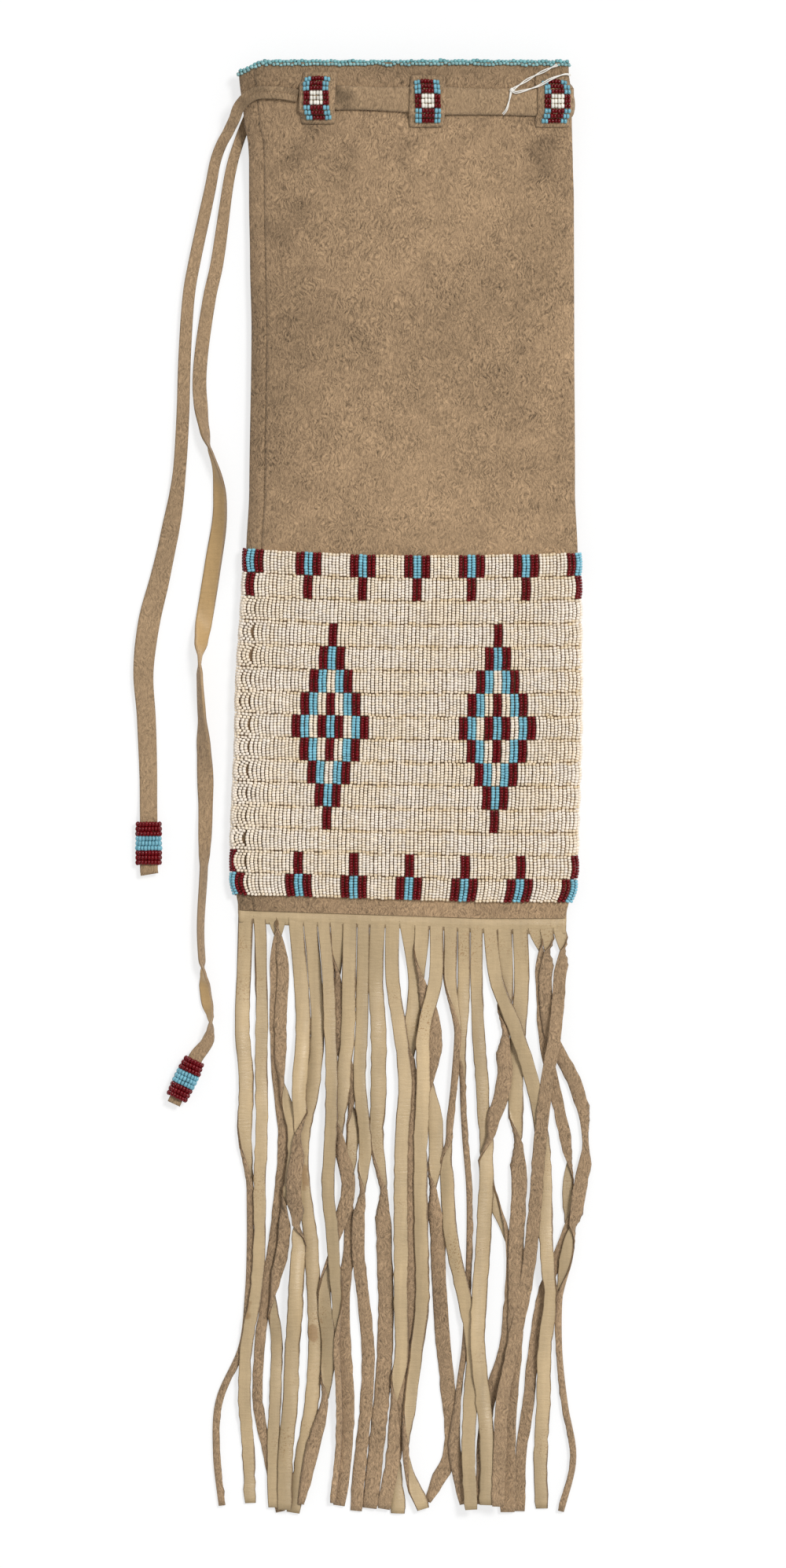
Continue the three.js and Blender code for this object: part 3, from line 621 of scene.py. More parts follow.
class PIPEBAG_OT_stage(bpy.types.Operator):
    """Builds the white floor, the lights and the camera that looks straight down"""
    bl_idname = "pipe_bag.stage"
    bl_label = "Stage"

    def execute(self, context):
        scene = context.scene
        bm = bmesh.new()
        bmesh.ops.create_grid(bm, x_segments=1, y_segments=1, size=FLOOR_SIZE)
        bmesh.ops.translate(bm, verts=bm.verts, vec=(0, 0, -FLOOR_SINK))
        finish_mesh("floor", bm, paper("paper"))

        world = bpy.data.worlds.new("studio")
        world.use_nodes = True
        n = Nodes(world.node_tree)
        mirrored = n.add("LightPath").outputs["Is Glossy Ray"]
        level = n.ranged(mirrored, 0.0, 1.0, SKY, MIRRORED_SKY)
        sky = n.add("Background", Color=WHITE, Strength=level)
        n.add("OutputWorld", Surface=sky.outputs[0])
        scene.world = world

        key = bpy.data.lights.new("key", "SUN")
        key.energy = SUN_POWER
        key.angle = math.radians(SUN_WIDTH)
        link("key", key).rotation_euler = [math.radians(turn) for turn in SUN_TURN]

        lens = bpy.data.cameras.new("camera")
        lens.sensor_fit = "VERTICAL"
        lens.sensor_height = SENSOR_HEIGHT
        lens.lens = SENSOR_HEIGHT * CAMERA_HEIGHT / PICTURE_HEIGHT
        scene.camera = link("camera", lens)
        scene.camera.location = place(*PICTURE_MIDDLE, CAMERA_HEIGHT)
        scene.view_settings.view_transform = "Standard"
        return {"FINISHED"}


# Each free end leaves the hide, (across, down, height over the fold), and then lies beside the bag,
# (out from its left edge, down, lift). Widths, turns and creases go by the distance down.
LEFT_EDGE = -85.3
FRONT_OFF = [(-0.66, 19.2, 6.5), (-0.75, 17.8, 6), (-0.83, 17.4, 5.5), (-0.9, 17.6, 4.9), (-0.965, 20, 4.2),
             (-1.02, 24.5, 2.8), (-1.06, 30, 0), (-1.09, 38, -5)]
FRONT_LIE = [(10.5, 46, 1.2), (13.7, 64, 0), (22.7, 106, 0), (26.2, 127, 0), (28.2, 158, 0), (29.2, 190, 0),
             (31.2, 221, 0), (35.2, 248, 0), (41.2, 276, 0), (47.2, 300, 0), (50.2, 326, 0), (48.7, 350, 0),
             (47.6, 378, 0), (47.4, 399, 1), (47.3, 405, 2.4), (47.2, 430, 2.4), (46.8, 434.5, 2.3)]
FRONT_WIDTHS = [(0, 7.2), (40, 5.6), (90, 6.4), (215, 6.8), (255, 9.6), (300, 11.6), (350, 10), (395, 9.2),
                (440, 9.4)]
FRONT_TURNS = [(0, 0), (30, 0), (60, 24), (215, 16), (260, -8), (330, 10), (380, 0), (440, 0)]
FRONT_CREASES = [(0, 1.2), (22, 1.3), (34, 0.5), (48, 0)]
BACK_OFF = [(-0.86, 21, -5.5), (-0.92, 23, -6.2), (-0.97, 28, -7.6), (-1, 36, -8.4)]
BACK_LIE = [(0.6, 46, 0), (4.7, 64, 0), (10.6, 106, 0), (15, 127, 0), (19.4, 158, 0), (20, 179, 0),
            (16.9, 200, 0), (10.7, 221, 0), (9.4, 243, 0), (13.2, 270, 0), (18.7, 306, 0), (20, 327, 0),
            (18.2, 360, 0), (16.9, 389, 0), (17.9, 431, 0), (19.6, 466, 0), (17, 498, 0), (14.2, 512, 0.4),
            (15.6, 523, 1.6), (21.7, 531.5, 3.6), (25.3, 539, 3.6), (32.5, 554, 3.6), (33.9, 557, 3.6)]
BACK_WIDTHS = [(0, 6), (40, 5.2), (60, 5.6), (110, 6.8), (200, 7.4), (260, 9), (385, 8.6), (400, 7.5),
               (430, 6.6), (490, 6.4), (512, 6.2), (524, 6.8), (532, 7.6), (545, 7), (560, 7)]
BACK_TURNS = [(0, 0), (60, 12), (176, 0), (197, 55), (210, 100), (235, 140), (270, 160), (295, 180),
              (310, 225), (319, 265), (328, 284), (350, 292), (368, 322), (385, 350), (398, 362), (412, 376),
              (422, 398), (431, 422), (480, 427), (488, 470), (495, 506), (503, 512), (510, 474), (517, 428),
              (524, 390), (531, 364), (560, 360)]
BACK_CREASES = [(0, 0), (600, 0)]
THONG_STEPS = {"front": 230, "back": 280}
THONG_LIE = 1.0
THONG_LYING = 3.0
THONG_CURL = 0.25
CREASE_AT = (0.1, 0.3)
SLIP = ((24, 8), (55, 20))
SLIP_REACH = 6


def within(down, start, end):
    """1 along a stretch and 0 outside it. Each end is given as its place and the length of the change."""
    return ease((down - start[0]) / start[1]) * (1 - ease((down - end[0]) / end[1]))


def thong_path(off, lie, count):
    """The line of a free end, eased sideways where it slips off the fold."""
    fold = float(follow(UNDERSIDES, TAB_MIDDLE) + MIDDLE_SHARE * follow(DEPTHS, TAB_MIDDLE))
    points = []
    for u, down, over in off:
        x = float(follow(MIDDLES, down) + follow(WIDTHS, down) / 2 * u)
        points.append((x, down, fold + over))
    points += [(LEFT_EDGE - out, down, THONG_LIE + lift) for out, down, lift in lie]
    path = smooth_path(points, count)
    reach = 2 * SLIP_REACH + 1
    slack = np.convolve(np.pad(path[:, 0], SLIP_REACH, mode="edge"), np.full(reach, 1 / reach), mode="valid")
    path[:, 0] += (slack - path[:, 0]) * within(path[:, 1], *SLIP)
    return path


def thong(name, path, widths, turns, creases, node):
    """A flat thong along a path, turned about it and lifted where it stands on its edge."""
    count = len(path)
    down = np.maximum.accumulate(path[:, 1])
    width = follow(widths, down)
    turn = np.radians(follow(turns, down))
    crease = follow(creases, down)
    along = travel(path)
    level = unit(rows(-along[:, 1], along[:, 0], 0))
    up = np.cross(level, along)
    up *= np.sign(up[:, 2:3])
    side = level * np.cos(turn)[:, None] + up * np.sin(turn)[:, None]
    face = up * np.cos(turn)[:, None] - level * np.sin(turn)[:, None]
    lying = path[:, 2] < THONG_LIE + THONG_LYING
    middle = path + rows(0, 0, np.where(lying, 0.5 * width * np.abs(np.sin(turn)), 0))

    def shape(s, t):
        i = np.rint(t * (count - 1)).astype(int)
        a = 2 * s - 1
        groove = -crease[i] * np.clip(1 - np.abs(a - CREASE_AT[0]) / CREASE_AT[1], 0, 1)
        curl = THONG_CURL * (1 - a ** 2) + groove
        return middle[i] + side[i] * (a * width[i] / 2)[:, None] + face[i] * curl[:, None]

    obj = mapped_grid(name, 8, count - 1, shape, thong_suede())
    thicken(obj, size("thong"), 0.0, thong_leather())
    dress(obj, "brown_hide", node)
    return obj, middle


# The bead wraps: where each begins, how it is turned, its half width and half height, and how much it tapers.
# A bead is (half width, half height, half length).
WRAPS = {
    "front": ((47.3, 406.4), 0.0, (7.4, 3.4), 0.04),
    "back": ((22.6, 533.4), -0.45, (6.7, 4.6), 0.14),
}
WRAP_ROW = 2.55
WRAP_ROWS = 3
WRAP_BLUE = 0.82
WRAP_CLEAR = 0.06
WRAP_BEAD = (1.5, 1.15, 0.9)


def wrap(end, band, first, tint, rng):
    """One band of a wrap: rows of beads round an oval."""
    (out, down), turn, (wide, high), taper = WRAPS[end]

    def turned(x, s, z):
        return rows(x * math.cos(turn) + s * math.sin(turn), s * math.cos(turn) - x * math.sin(turn), z)

    ring = np.linspace(0, 2 * np.pi, 721)
    inner, low = wide - WRAP_BEAD[1], high - WRAP_BEAD[1]
    run = run_of(rows(inner * np.cos(ring), low * np.sin(ring)))
    count = round(run[-1] / (2 * WRAP_BEAD[2]))
    beads = []
    for row in range(WRAP_ROWS):
        at = (np.arange(count) + rng.uniform(0, 1)) * run[-1] / count
        angle = np.interp(at, run, ring)
        from_middle = (first + row + 0.5) / (1.5 * WRAP_ROWS) - 1
        girth = 1 - taper * from_middle ** 2
        s = (first + row + 0.5) * WRAP_ROW + rng.normal(0, 0.06, count)
        z = girth * low * np.sin(angle) + high + WRAP_CLEAR
        beads.append((turned(girth * inner * np.cos(angle), s, z),
                      turned(-np.sin(angle) * wide, 0, np.cos(angle) * high),
                      turned(np.cos(angle) * high, 0, np.sin(angle) * wide)))
    centres, along, up = (np.vstack(part) for part in zip(*beads))
    centres = centres + (LEFT_EDGE - out, down, 0)
    sizes = np.array([WRAP_BEAD]) * rng.normal(1, 0.03, (len(centres), 1))
    tints = np.array([tint]) * rng.normal(1, 0.06, (len(centres), 1))
    name = f"wrap_{end}_{band}"
    obj = scatter(f"{name}_beads", bead_shape(8, 4), centres, along, up, sizes, tints, bead_glass())
    return dress(obj, "blue_beads" if band == "blue" else "red_beads", name)


def wraps(end, rng):
    red, blue = np.array(colours().red), np.array(colours().blue) * WRAP_BLUE
    bands = (("red_upper", red), ("blue", blue), ("red_lower", red))
    return [wrap(end, band, i * WRAP_ROWS, tint, rng) for i, (band, tint) in enumerate(bands)]


class PIPEBAG_OT_drawstring(bpy.types.Operator):
    """Builds the two free ends of the drawstring and their bead wraps"""
    bl_idname = "pipe_bag.drawstring"
    bl_label = "Drawstring ends"

    def execute(self, context):
        rng = np.random.default_rng(SEED)
        ends = (("front", FRONT_OFF, FRONT_LIE, FRONT_WIDTHS, FRONT_TURNS, FRONT_CREASES),
                ("back", BACK_OFF, BACK_LIE, BACK_WIDTHS, BACK_TURNS, BACK_CREASES))
        for end, off, lie, *forms in ends:
            path = thong_path(off, lie, THONG_STEPS[end])
            obj, middle = thong(f"thong_{end}", path, *forms, f"drawstring_end_{end}")
            wraps(end, rng)
        return {"FINISHED"}


# The tie thread, (out from the third loop, down, height over the hide)
TAB_SHARES = {"front": (-0.505, 0.14, 0.89), "back": (-0.72, -0.16, 0.4)}
KNOT = (-22.5, 16.2, 3.0)
KNOT_RADIUS = 1.25
KNOT_FLATNESS = 0.7
THREAD_TAIL = [KNOT, (-18.5, 13.6, 2.4), (-11, 9.2, 1.5), (-4, 5.4, 2), (0.6, 2.6, 3.6)]
THREAD_LOOP = [(-26.2, 29, 1.4), (-25.4, 26.4, 3.4), (-23.8, 21, 3.2), KNOT, (-20, 17.4, 2.9),
               (-9.7, 14.2, 3.4), (-3.4, 10.1, 4.6), (4.2, 7.6, 3.6), (8.4, 8, 2.4)]
TAIL_ASIDE = (0.5, -0.5)
LOOP_ASIDE = (0.45, -0.45)
STRAND_SHARE = 0.6
THREAD_WAVES = 9
THREAD_CLEAR = 0.12


def tab_place(share):
    return MOUTH_LEAN + share * MOUTH_WIDTH / 2


def thread_points(points, aside, count):
    """A line through points over the hide, which waves to one side and the other."""
    spots = []
    for out, down, over in points:
        x = tab_place(TAB_SHARES["front"][2]) + out
        spots.append(skin(psi_of(x, down), down, over))
    path = smooth_path(spots, count)
    along = travel(path)
    wave = aside * np.cos(np.linspace(0, THREAD_WAVES, count))
    return path + rows(-along[:, 1], along[:, 0], 0) * wave[:, None] + (0, 0, THREAD_CLEAR)


def thread(name, path, thickness):
    curve = bpy.data.curves.new(name, "CURVE")
    curve.dimensions = "3D"
    curve.bevel_depth = thickness * MM / 2
    curve.bevel_resolution = 2
    curve.use_fill_caps = True
    spline = curve.splines.new("POLY")
    spline.points.add(len(path) - 1)
    for point, co in zip(spline.points, place(*path.T)):
        point.co = (*co, 1.0)
    curve.materials.append(cotton())
    return dress(link(name, curve), "white_thread")


class PIPEBAG_OT_thread(bpy.types.Operator):
    """Builds the doubled white thread that is knotted round the drawstring"""
    bl_idname = "pipe_bag.thread"
    bl_label = "Tie thread"

    def execute(self, context):
        thick = STRAND_SHARE * size("thread")
        tails = [thread(f"thread_tail_{k}", thread_points(THREAD_TAIL, aside, 40), thick)
                 for k, aside in enumerate(TAIL_ASIDE, 1)]
        knot = self.knot()
        for k, aside in enumerate(LOOP_ASIDE, 1):
            path = thread_points(THREAD_LOOP, aside, 60)
            loop = thread(f"thread_loop_{k}", path, thick)
            if k == 1:
                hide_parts("tie_thread")
        return {"FINISHED"}

    def knot(self):
        """A small uneven lump."""
        bm = bmesh.new()
        bmesh.ops.create_icosphere(bm, subdivisions=2, radius=KNOT_RADIUS)
        middle = thread_points([KNOT, (KNOT[0] + 1, KNOT[1], KNOT[2])], 0, 2)[0]
        for vert in bm.verts:
            lump = 1 + 0.14 * math.sin(5 * vert.co.x + 3 * vert.co.y)
            vert.co = Vector(place(*(middle + np.array(vert.co) * (lump, lump, KNOT_FLATNESS))))
        return dress(finish_mesh("thread_knot", bm, cotton()), "white_thread")


# The hide: its sheet's rows are drawn together at both rims. Its seam lies in a shallow groove, which fades
# at the foot, beside a raised margin.
SWELL = 0.22
HIDE_ROWS = ((0, 0.009, 0.991, 1), (0, 0.0008, 0.9992, 1))
HIDE_ROUND = 220
HIDE_GAP = 0.001
BARE = ((40, 20), (235, 20))
SEAM_START = (36, 10)
SEAM_FADE = (430, 10, 0.8)
GROOVE = (0.13, 0.9)
MARGIN = (0.25, 3.2, 3)
LAP = (0.25, 0.93, 0.05)

# The stitches: from, to and apart, then how deep they sit and their (half width, half height, half length)
STITCH_RUN = (29.0, 261.0, 2.1)
STITCH_DEPTH = 0.35
STITCH_ASIDE = 0.002
STITCH = (0.22, 0.22, 0.62)


def wander(x, down):
    """Low swells of the soft hide."""
    swell = np.sin(x / 21 + 1.3) * np.sin(down / 29 + 0.4) + 0.6 * np.sin(x / 11 - down / 17)
    return SWELL * swell


def seam_place(down):
    return np.arcsin(-1 + 2 * SEAM_INSET / follow(WIDTHS, down))


class PIPEBAG_OT_hide(bpy.types.Operator):
    """Builds the hide tube, open at the mouth, with its seam on the left of the front"""
    bl_idname = "pipe_bag.hide"
    bl_label = "Hide tube"

    def execute(self, context):
        def shape(s, t):
            down = HIDE_TOP + (FOOT - HIDE_TOP) * np.interp(1 - t, *HIDE_ROWS)
            psi = seam_place(down) + s * (2 * math.pi - HIDE_GAP)
            bare = within(down, *BARE)
            x = follow(WIDTHS, down) / 2 * np.sin(psi)
            swell = bare * np.clip(np.cos(psi), 0, 1) * wander(x, down)
            sewn = ease((down - SEAM_START[0]) / SEAM_START[1])
            sewn = sewn * (1 - SEAM_FADE[2] * ease((down - SEAM_FADE[0]) / SEAM_FADE[1]))
            groove = GROOVE[0] * sewn * np.exp(-np.minimum(s, 1 - s) * HIDE_ROUND / GROOVE[1])
            margin = MARGIN[0] * bare * np.exp(-((1 - s) * HIDE_ROUND - MARGIN[1]) ** 2 / MARGIN[2])
            lap = LAP[0] * np.clip((s - LAP[1]) / LAP[2], 0, 1)
            return skin(psi, down, swell - groove + margin - lap)

        hide = mapped_grid("hide", 140, 110, shape, hide_suede())
        thicken(hide, size("hide"))
        dress(hide, "brown_hide", "bag_body")
        return {"FINISHED"}


class PIPEBAG_OT_stitches(bpy.types.Operator):
    """Builds the small sinew stitches down the seam"""
    bl_idname = "pipe_bag.stitches"
    bl_label = "Seam stitches"

    def execute(self, context):
        down = np.arange(*STITCH_RUN)
        spots = skin(seam_place(down) - STITCH_ASIDE, down, -STITCH_DEPTH)
        count = len(down)
        rng = np.random.default_rng(SEED + 1)
        along = rows(rng.normal(0.1, 0.15, count), 1, 0)
        up = np.tile((0.0, 0.0, 1.0), (count, 1))
        sizes = np.array([STITCH]) * rng.uniform(0.75, 1.2, (count, 1))
        tints = np.tile(tuple(colours().sinew), (count, 1))
        obj = scatter("seam_stitches", bead_shape(6, 3), spots, along, up, sizes, tints,
                      fibre("sinew", colours().sinew, 0.8))
        dress(obj, "brown_hide")
        return {"FINISHED"}


# The held stretch of the drawstring, round the right fold: (place across, down) and (place across, width).
# It begins a little before the first loop of each side.
BAND_MIDDLES = [(-0.6, 19.2), (-0.42, 20.2), (0, 21.2), (0.2, 21.9), (0.5, 22.4), (0.98, 22.4)]
BAND_WIDTHS = [(-0.6, 8.6), (-0.42, 12.6), (0, 13.4), (0.2, 14.2), (0.5, 14.5), (0.98, 14.2)]
BAND_BEFORE = 9.5
BAND_THICK = 1.5
BAND_CLEAR = 0.3
BAND_SWELL = 0.35
BAND_PRESSED = (0.85, 0.4)


class PIPEBAG_OT_band(bpy.types.Operator):
    """Builds the held stretch of the drawstring that runs under the loops"""
    bl_idname = "pipe_bag.band"
    bl_label = "Drawstring band"

    def execute(self, context):
        first = float(psi_of(tab_place(TAB_SHARES["front"][0]) - BAND_BEFORE, TAB_MIDDLE))
        last = math.pi - float(psi_of(tab_place(TAB_SHARES["back"][0]) - BAND_BEFORE, TAB_MIDDLE))

        def shape(s, t):
            psi = last + (first - last) * s
            u = np.where(np.cos(psi) > 0, np.sin(psi), 1.0)
            a = 2 * t - 1
            down = follow(BAND_MIDDLES, u) + a * follow(BAND_WIDTHS, u) / 2 + BAND_SWELL * np.sin(psi * 9) * a
            pressed = BAND_PRESSED[0] * np.exp(-(np.cos(psi) / BAND_PRESSED[1]) ** 2)
            out = BAND_CLEAR + BAND_THICK * (1 - pressed * a ** 2) + BAND_SWELL * (1 - a ** 4)
            return skin(psi, down, out)

        band = mapped_grid("drawstring_band_hide", 110, 8, shape, thong_suede())
        thicken(band, BAND_THICK, rim=cut_suede())
        dress(band, "brown_hide", "drawstring_band")
        return {"FINISHED"}


# The loops that hold the drawstring, and their beads, (half width, half height, half length)

TAB_HALF = (9.3, 13.9)
TAB_HIDE = 1.2
TAB_SHEET = 0.9
TAB_EDGE = 0.35
TAB_ROUNDING = (0.06, 0.02)
TAB_LOW = 0.3
TAB_HOLLOW = 2.1
TAB_REACH = 6.6
TAB_SLOPE = 3.5
TAB_LEAN = 0.5
TAB_ROWS = 9
TAB_COLUMNS = 8
TAB_BEAD = (1.38, 1.08, 0.85)
TAB_PITCH = (1.65, 2.63)
TAB_BOW = 1.8
TAB_BEAD_SEAT = {"front": 0.65, "back": 0.43}
FIRST_RAISE = 1.7
TAB_TONES = {"b": 0.8, "r": 0.84, "w": 1.0}
TAB_PATTERN = ("bbrrrrbb", "rrwwwwrr", "bbrrrrbb")
BEAD_NAMES = {"b": "blue", "r": "red", "w": "white", "c": "cream"}


def tab_low(down):
    """How far the underside of a loop stands off the hide."""
    away = (np.abs(down - TAB_MIDDLE) - TAB_REACH) / TAB_SLOPE
    return TAB_LOW + TAB_HOLLOW * (1 - ease(away))


def shade(letter):
    return np.array(getattr(colours(), BEAD_NAMES[letter]))


class PIPEBAG_OT_loops(bpy.types.Operator):
    """Builds the hide loops and the nine rows of beads on each"""
    bl_idname = "pipe_bag.loops"
    bl_label = "Drawstring loops"

    def execute(self, context):
        rng = np.random.default_rng(SEED + 2)
        for side, shares in TAB_SHARES.items():
            for number, share in enumerate(shares, 1):
                self.loop(side, number, tab_place(share), rng)
        return {"FINISHED"}

    def loop(self, side, number, middle, rng):
        """One loop with its beads. The first front loop sits higher than the others."""
        mirror = 1 if side == "front" else -1
        lean = rng.normal(0, TAB_LEAN) if number < 3 else 0.0
        raised = (0, FIRST_RAISE if (side, number) == ("front", 1) else 0, 0)

        def on_tab(x, down, out):
            return skin(psi_of(middle + x, down, side == "back"), down, out)

        def shape(s, t):
            a = (2 * s - 1) * mirror
            b = 1 - 2 * t
            x = a * TAB_HALF[0] * (1 - TAB_ROUNDING[0] * np.abs(b) ** 6) + lean * b
            down = TAB_MIDDLE + b * TAB_HALF[1] * (1 - TAB_ROUNDING[1] * np.abs(a) ** 6)
            edge = np.maximum(np.abs(a), np.abs(b)) ** 8
            return on_tab(x, down, tab_low(down) + TAB_HIDE - TAB_EDGE * edge) - raised

        tab = mapped_grid(f"loop_{side}_{number}", 12, 20, shape, hide_suede())
        thicken(tab, TAB_SHEET, rim=cut_suede())
        dress(tab, "brown_hide", f"tab_loop_{side}_{number}")

        row, column = (v.ravel() for v in np.indices((TAB_ROWS, TAB_COLUMNS)))
        from_middle = 1 - row / (TAB_ROWS // 2)
        down = TAB_MIDDLE + (row - (TAB_ROWS - 1) / 2) * TAB_PITCH[1] + rng.normal(0, 0.07, row.size)
        x = (column - (TAB_COLUMNS - 1) / 2) * TAB_PITCH[0] + lean * from_middle
        x = x + rng.normal(0, 0.06, row.size)
        down = down + TAB_BOW * (x / TAB_HALF[0]) ** 2 * np.clip(from_middle, 0, 1)
        out = tab_low(down) + TAB_HIDE + TAB_BEAD[1] * TAB_BEAD_SEAT[side]
        spots = on_tab(x, down, out)
        along = on_tab(x + 0.5, down, out) - spots
        up = on_tab(x, down, out + 0.5) - spots
        sizes = np.array([TAB_BEAD]) * rng.normal(1, 0.04, (row.size, 1))
        letters = [TAB_PATTERN[r // 3][c] for r, c in zip(row, column)]
        tints = np.array([shade(letter) * TAB_TONES[letter] for letter in letters])
        tints = tints * rng.normal(1, 0.08, (row.size, 1))
        beads = scatter(f"loop_{side}_{number}_beads", bead_shape(8, 4), spots - raised, along, up, sizes,
                        tints, bead_glass())
        dress(beads, "red_beads", f"tab_beadwork_{side}_{number}")


# The mouth edging: rows of beads, (down, out from the hide, bead half width, share of lightening)
EDGING = ((0.85, -0.6, 1.12, 0.0), (2.35, 0.6, 0.85, 0.12), (2.35, -2.1, 0.85, 0.12))
EDGING_PITCH = 1.95
EDGING_LENGTH = 0.92


def round_run(down, out, start):
    """Distances round the tube from a starting place, and the places."""
    psi = np.linspace(start, start + 2 * math.pi, 4001)
    return run_of(skin(psi, down, out)[:, (0, 2)]), psi


class PIPEBAG_OT_edging(bpy.types.Operator):
    """Builds the rows of turquoise beads round the mouth"""
    bl_idname = "pipe_bag.edging"
    bl_label = "Mouth edging"

    def execute(self, context):
        rng = np.random.default_rng(SEED + 3)
        beads = []
        for down, out, half, pale in EDGING:
            run, psi = round_run(0.0, out, -math.pi / 2)
            count = round(run[-1] / EDGING_PITCH)
            at = np.interp((np.arange(count) + 0.5) * run[-1] / count, run, psi)
            rim = skin(at, 0.0, out)
            spots = rim + rows(0, down + rng.normal(0, 0.28, count), 0)
            along = skin(at + 0.01, 0.0, out) - rim + rng.normal(0, 0.1, (count, 3))
            up = np.tile((0.0, -0.3, 1.0), (count, 1))
            sizes = np.array([[half, half, EDGING_LENGTH]]) * rng.normal(1, 0.07, (count, 1))
            blue = np.array(colours().edging) * (1 - pale) + shade("w") * pale
            beads.append((spots, along, up, sizes, blue * rng.normal(1, 0.1, (count, 1))))
        parts = (np.vstack(part) for part in zip(*beads))
        obj = scatter("edging_beads", bead_shape(8, 4), *parts, bead_glass())
        dress(obj, "blue_beads", "mouth_edging")
        return {"FINISHED"}


# The lanes: columns of beads counted round the bag from the middle of the front pattern
COLUMNS = 177
PATTERN_MIDDLE = 2.8
BORDERS = (0, 14, -14, 28, -28, 42, 57, 73, 88, -73, -58)
FOLD_FIGURES = (-43, -45)
DIAMONDS = (21, -21, 65, -65)
DIAMOND = ("r", "rbr", "rbcbr", "rbcrcbr", "rbcrbrcbr", "rbcrcbr", "rbcbr", "rbr", "r")
BORDER = ("rbr", "r")
BORDER_GAIN = (0.1, 0.15)
DIAMOND_GAIN = 0.075
LANES = 15
FIRST_DIAMOND = 3
LANE_SEAT = 0.15
LANE_GAP = 0.22
LANE_OUT = 1.4
ARCH = 0.55
BEAD_COUNTS = (8, 9)
COLUMN_PHASE = 0.2
COLUMN_SHIFT = 0.05
COLUMN_LEAN = 0.08
BEAD_SHIFT = 0.03
FEWER_SHARE = 0.75
LANE_TILT = (3.8, 1.4)
TILT_MIDDLE = 0.1
FRONT_LIMIT = -0.05
LEFT_FOLD = -43
RIGHT_FOLD = 42
LOOSE_COLUMNS = (-44, -43, -42)
FOLD_SLACK = ((1, 0.25), (2, 1.2), (12, 1.3), (13, 0.8), (14, 0.4))

# How far the tints of each colour spread, and the shares of red, green and blue that the ground loses
TINT_SPREAD = {"c": 0.04, "r": 0.12, "b": 0.07}
YELLOWED = (0.02, 0.06, 0.15)
TANNED = (0.13, 0.2, 0.34)
LANE_END = (0.74, 0.16)


def lane_cells(lane):
    """Middles and cells of the coloured figures of a lane, and how much wider their beads are."""
    from_edge = min(lane, LANES - 1 - lane)
    rank = lane - FIRST_DIAMOND
    if from_edge < len(BORDER):
        fold = FOLD_FIGURES[lane > FIRST_DIAMOND]
        return (*BORDERS, fold), BORDER[from_edge], BORDER_GAIN[from_edge]
    if 0 <= rank < len(DIAMOND):
        return DIAMONDS, DIAMOND[rank], DIAMOND_GAIN
    return (), "", 0.0


def lane_letters(lane):
    """The colour of each column of a lane, as letters from column -88 to 88."""
    letters = ["c"] * COLUMNS
    centres, cells, _ = lane_cells(lane)
    for centre in centres:
        for i in range(2 * len(cells)):
            letters[(centre - len(cells) + i + COLUMNS // 2) % COLUMNS] = cells[i // 2]
    return np.array(letters)


def lane_spread(lane, k):
    """Where the columns lie, counted in columns, with the coloured ones wider and their neighbours closer."""
    centres, cells, gain = lane_cells(lane)
    half = len(cells)
    fade = max(4, half)
    at = k + 0.5
    stretch = np.ones(k.size)
    for centre in centres:
        away = np.mod(k + 0.5 - centre + COLUMNS / 2, COLUMNS) - COLUMNS / 2
        outside = np.abs(away) - half
        at = at + gain * np.where(outside < 0, away, np.sign(away) * half * np.clip(1 - outside / fade, 0, 1))
        stretch = stretch + gain * np.where(outside < 0, 1, np.where(outside < fade, -half / fade, 0))
    return at, stretch


def near_fold(k, fold, reach):
    """1 at the column of a fold, and less away from it."""
    return np.exp(-((k - fold) / reach) ** 2)


def lane_aside(lane, column, t, rng):
    """How far beads stand out of line: uneven columns, bowed at the folds and loose at the left one."""
    k = column - COLUMNS // 2
    bow = np.sin(np.pi * t)
    slack = follow(FOLD_SLACK, lane)
    aside = rng.normal(0, COLUMN_SHIFT, COLUMNS)[column]
    aside = aside + rng.normal(0, COLUMN_LEAN, COLUMNS)[column] * (t - 0.5)
    bowed = 1.1 * slack * near_fold(k, LEFT_FOLD, 4.0) - 0.6 * near_fold(k, RIGHT_FOLD, 3.0)
    aside = aside - bowed * (bow - 0.5) + rng.normal(0, BEAD_SHIFT, t.size)
    loose = rng.uniform(0.2, 1.0) * np.isin(k, LOOSE_COLUMNS) + rng.uniform(0, 0.7) * (k == LOOSE_COLUMNS[0])
    return aside - slack * loose * (1.6 * bow - 0.4)


def lane_tints(lane, column, t, rng):
    """Tints that differ from bead to bead, on a ground that yellows in patches and by the lanes' edges."""
    k = column - COLUMNS // 2
    letters = lane_letters(lane)
    spread = np.array([TINT_SPREAD[letter] for letter in letters])[column]
    tints = np.array([shade(letter) for letter in letters])[column]
    tints = tints * np.exp(rng.normal(0, 1, t.size) * spread)[:, None]
    patches = 0.5 * np.sin(k / 5.0 + lane * 1.7) * np.sin(k / 11.0 - lane)
    yellow = np.clip(0.5 + patches + rng.normal(0, 0.3, t.size), 0, 1)
    ends = ease((np.abs(2 * t - 1) - LANE_END[0]) / LANE_END[1])
    ends = ends * (0.6 + 0.4 * np.sin(k * 0.9 + 3 * np.sin(k * 0.23 + lane)))
    ends = ends * (1 - 0.8 * near_fold(k, LEFT_FOLD, 8.0))
    ground = (letters[column] == "c")[:, None]
    tints = tints * (1 - ground * yellow[:, None] * np.array(YELLOWED))
    return tints * (1 - ground * ends[:, None] * np.array(TANNED))


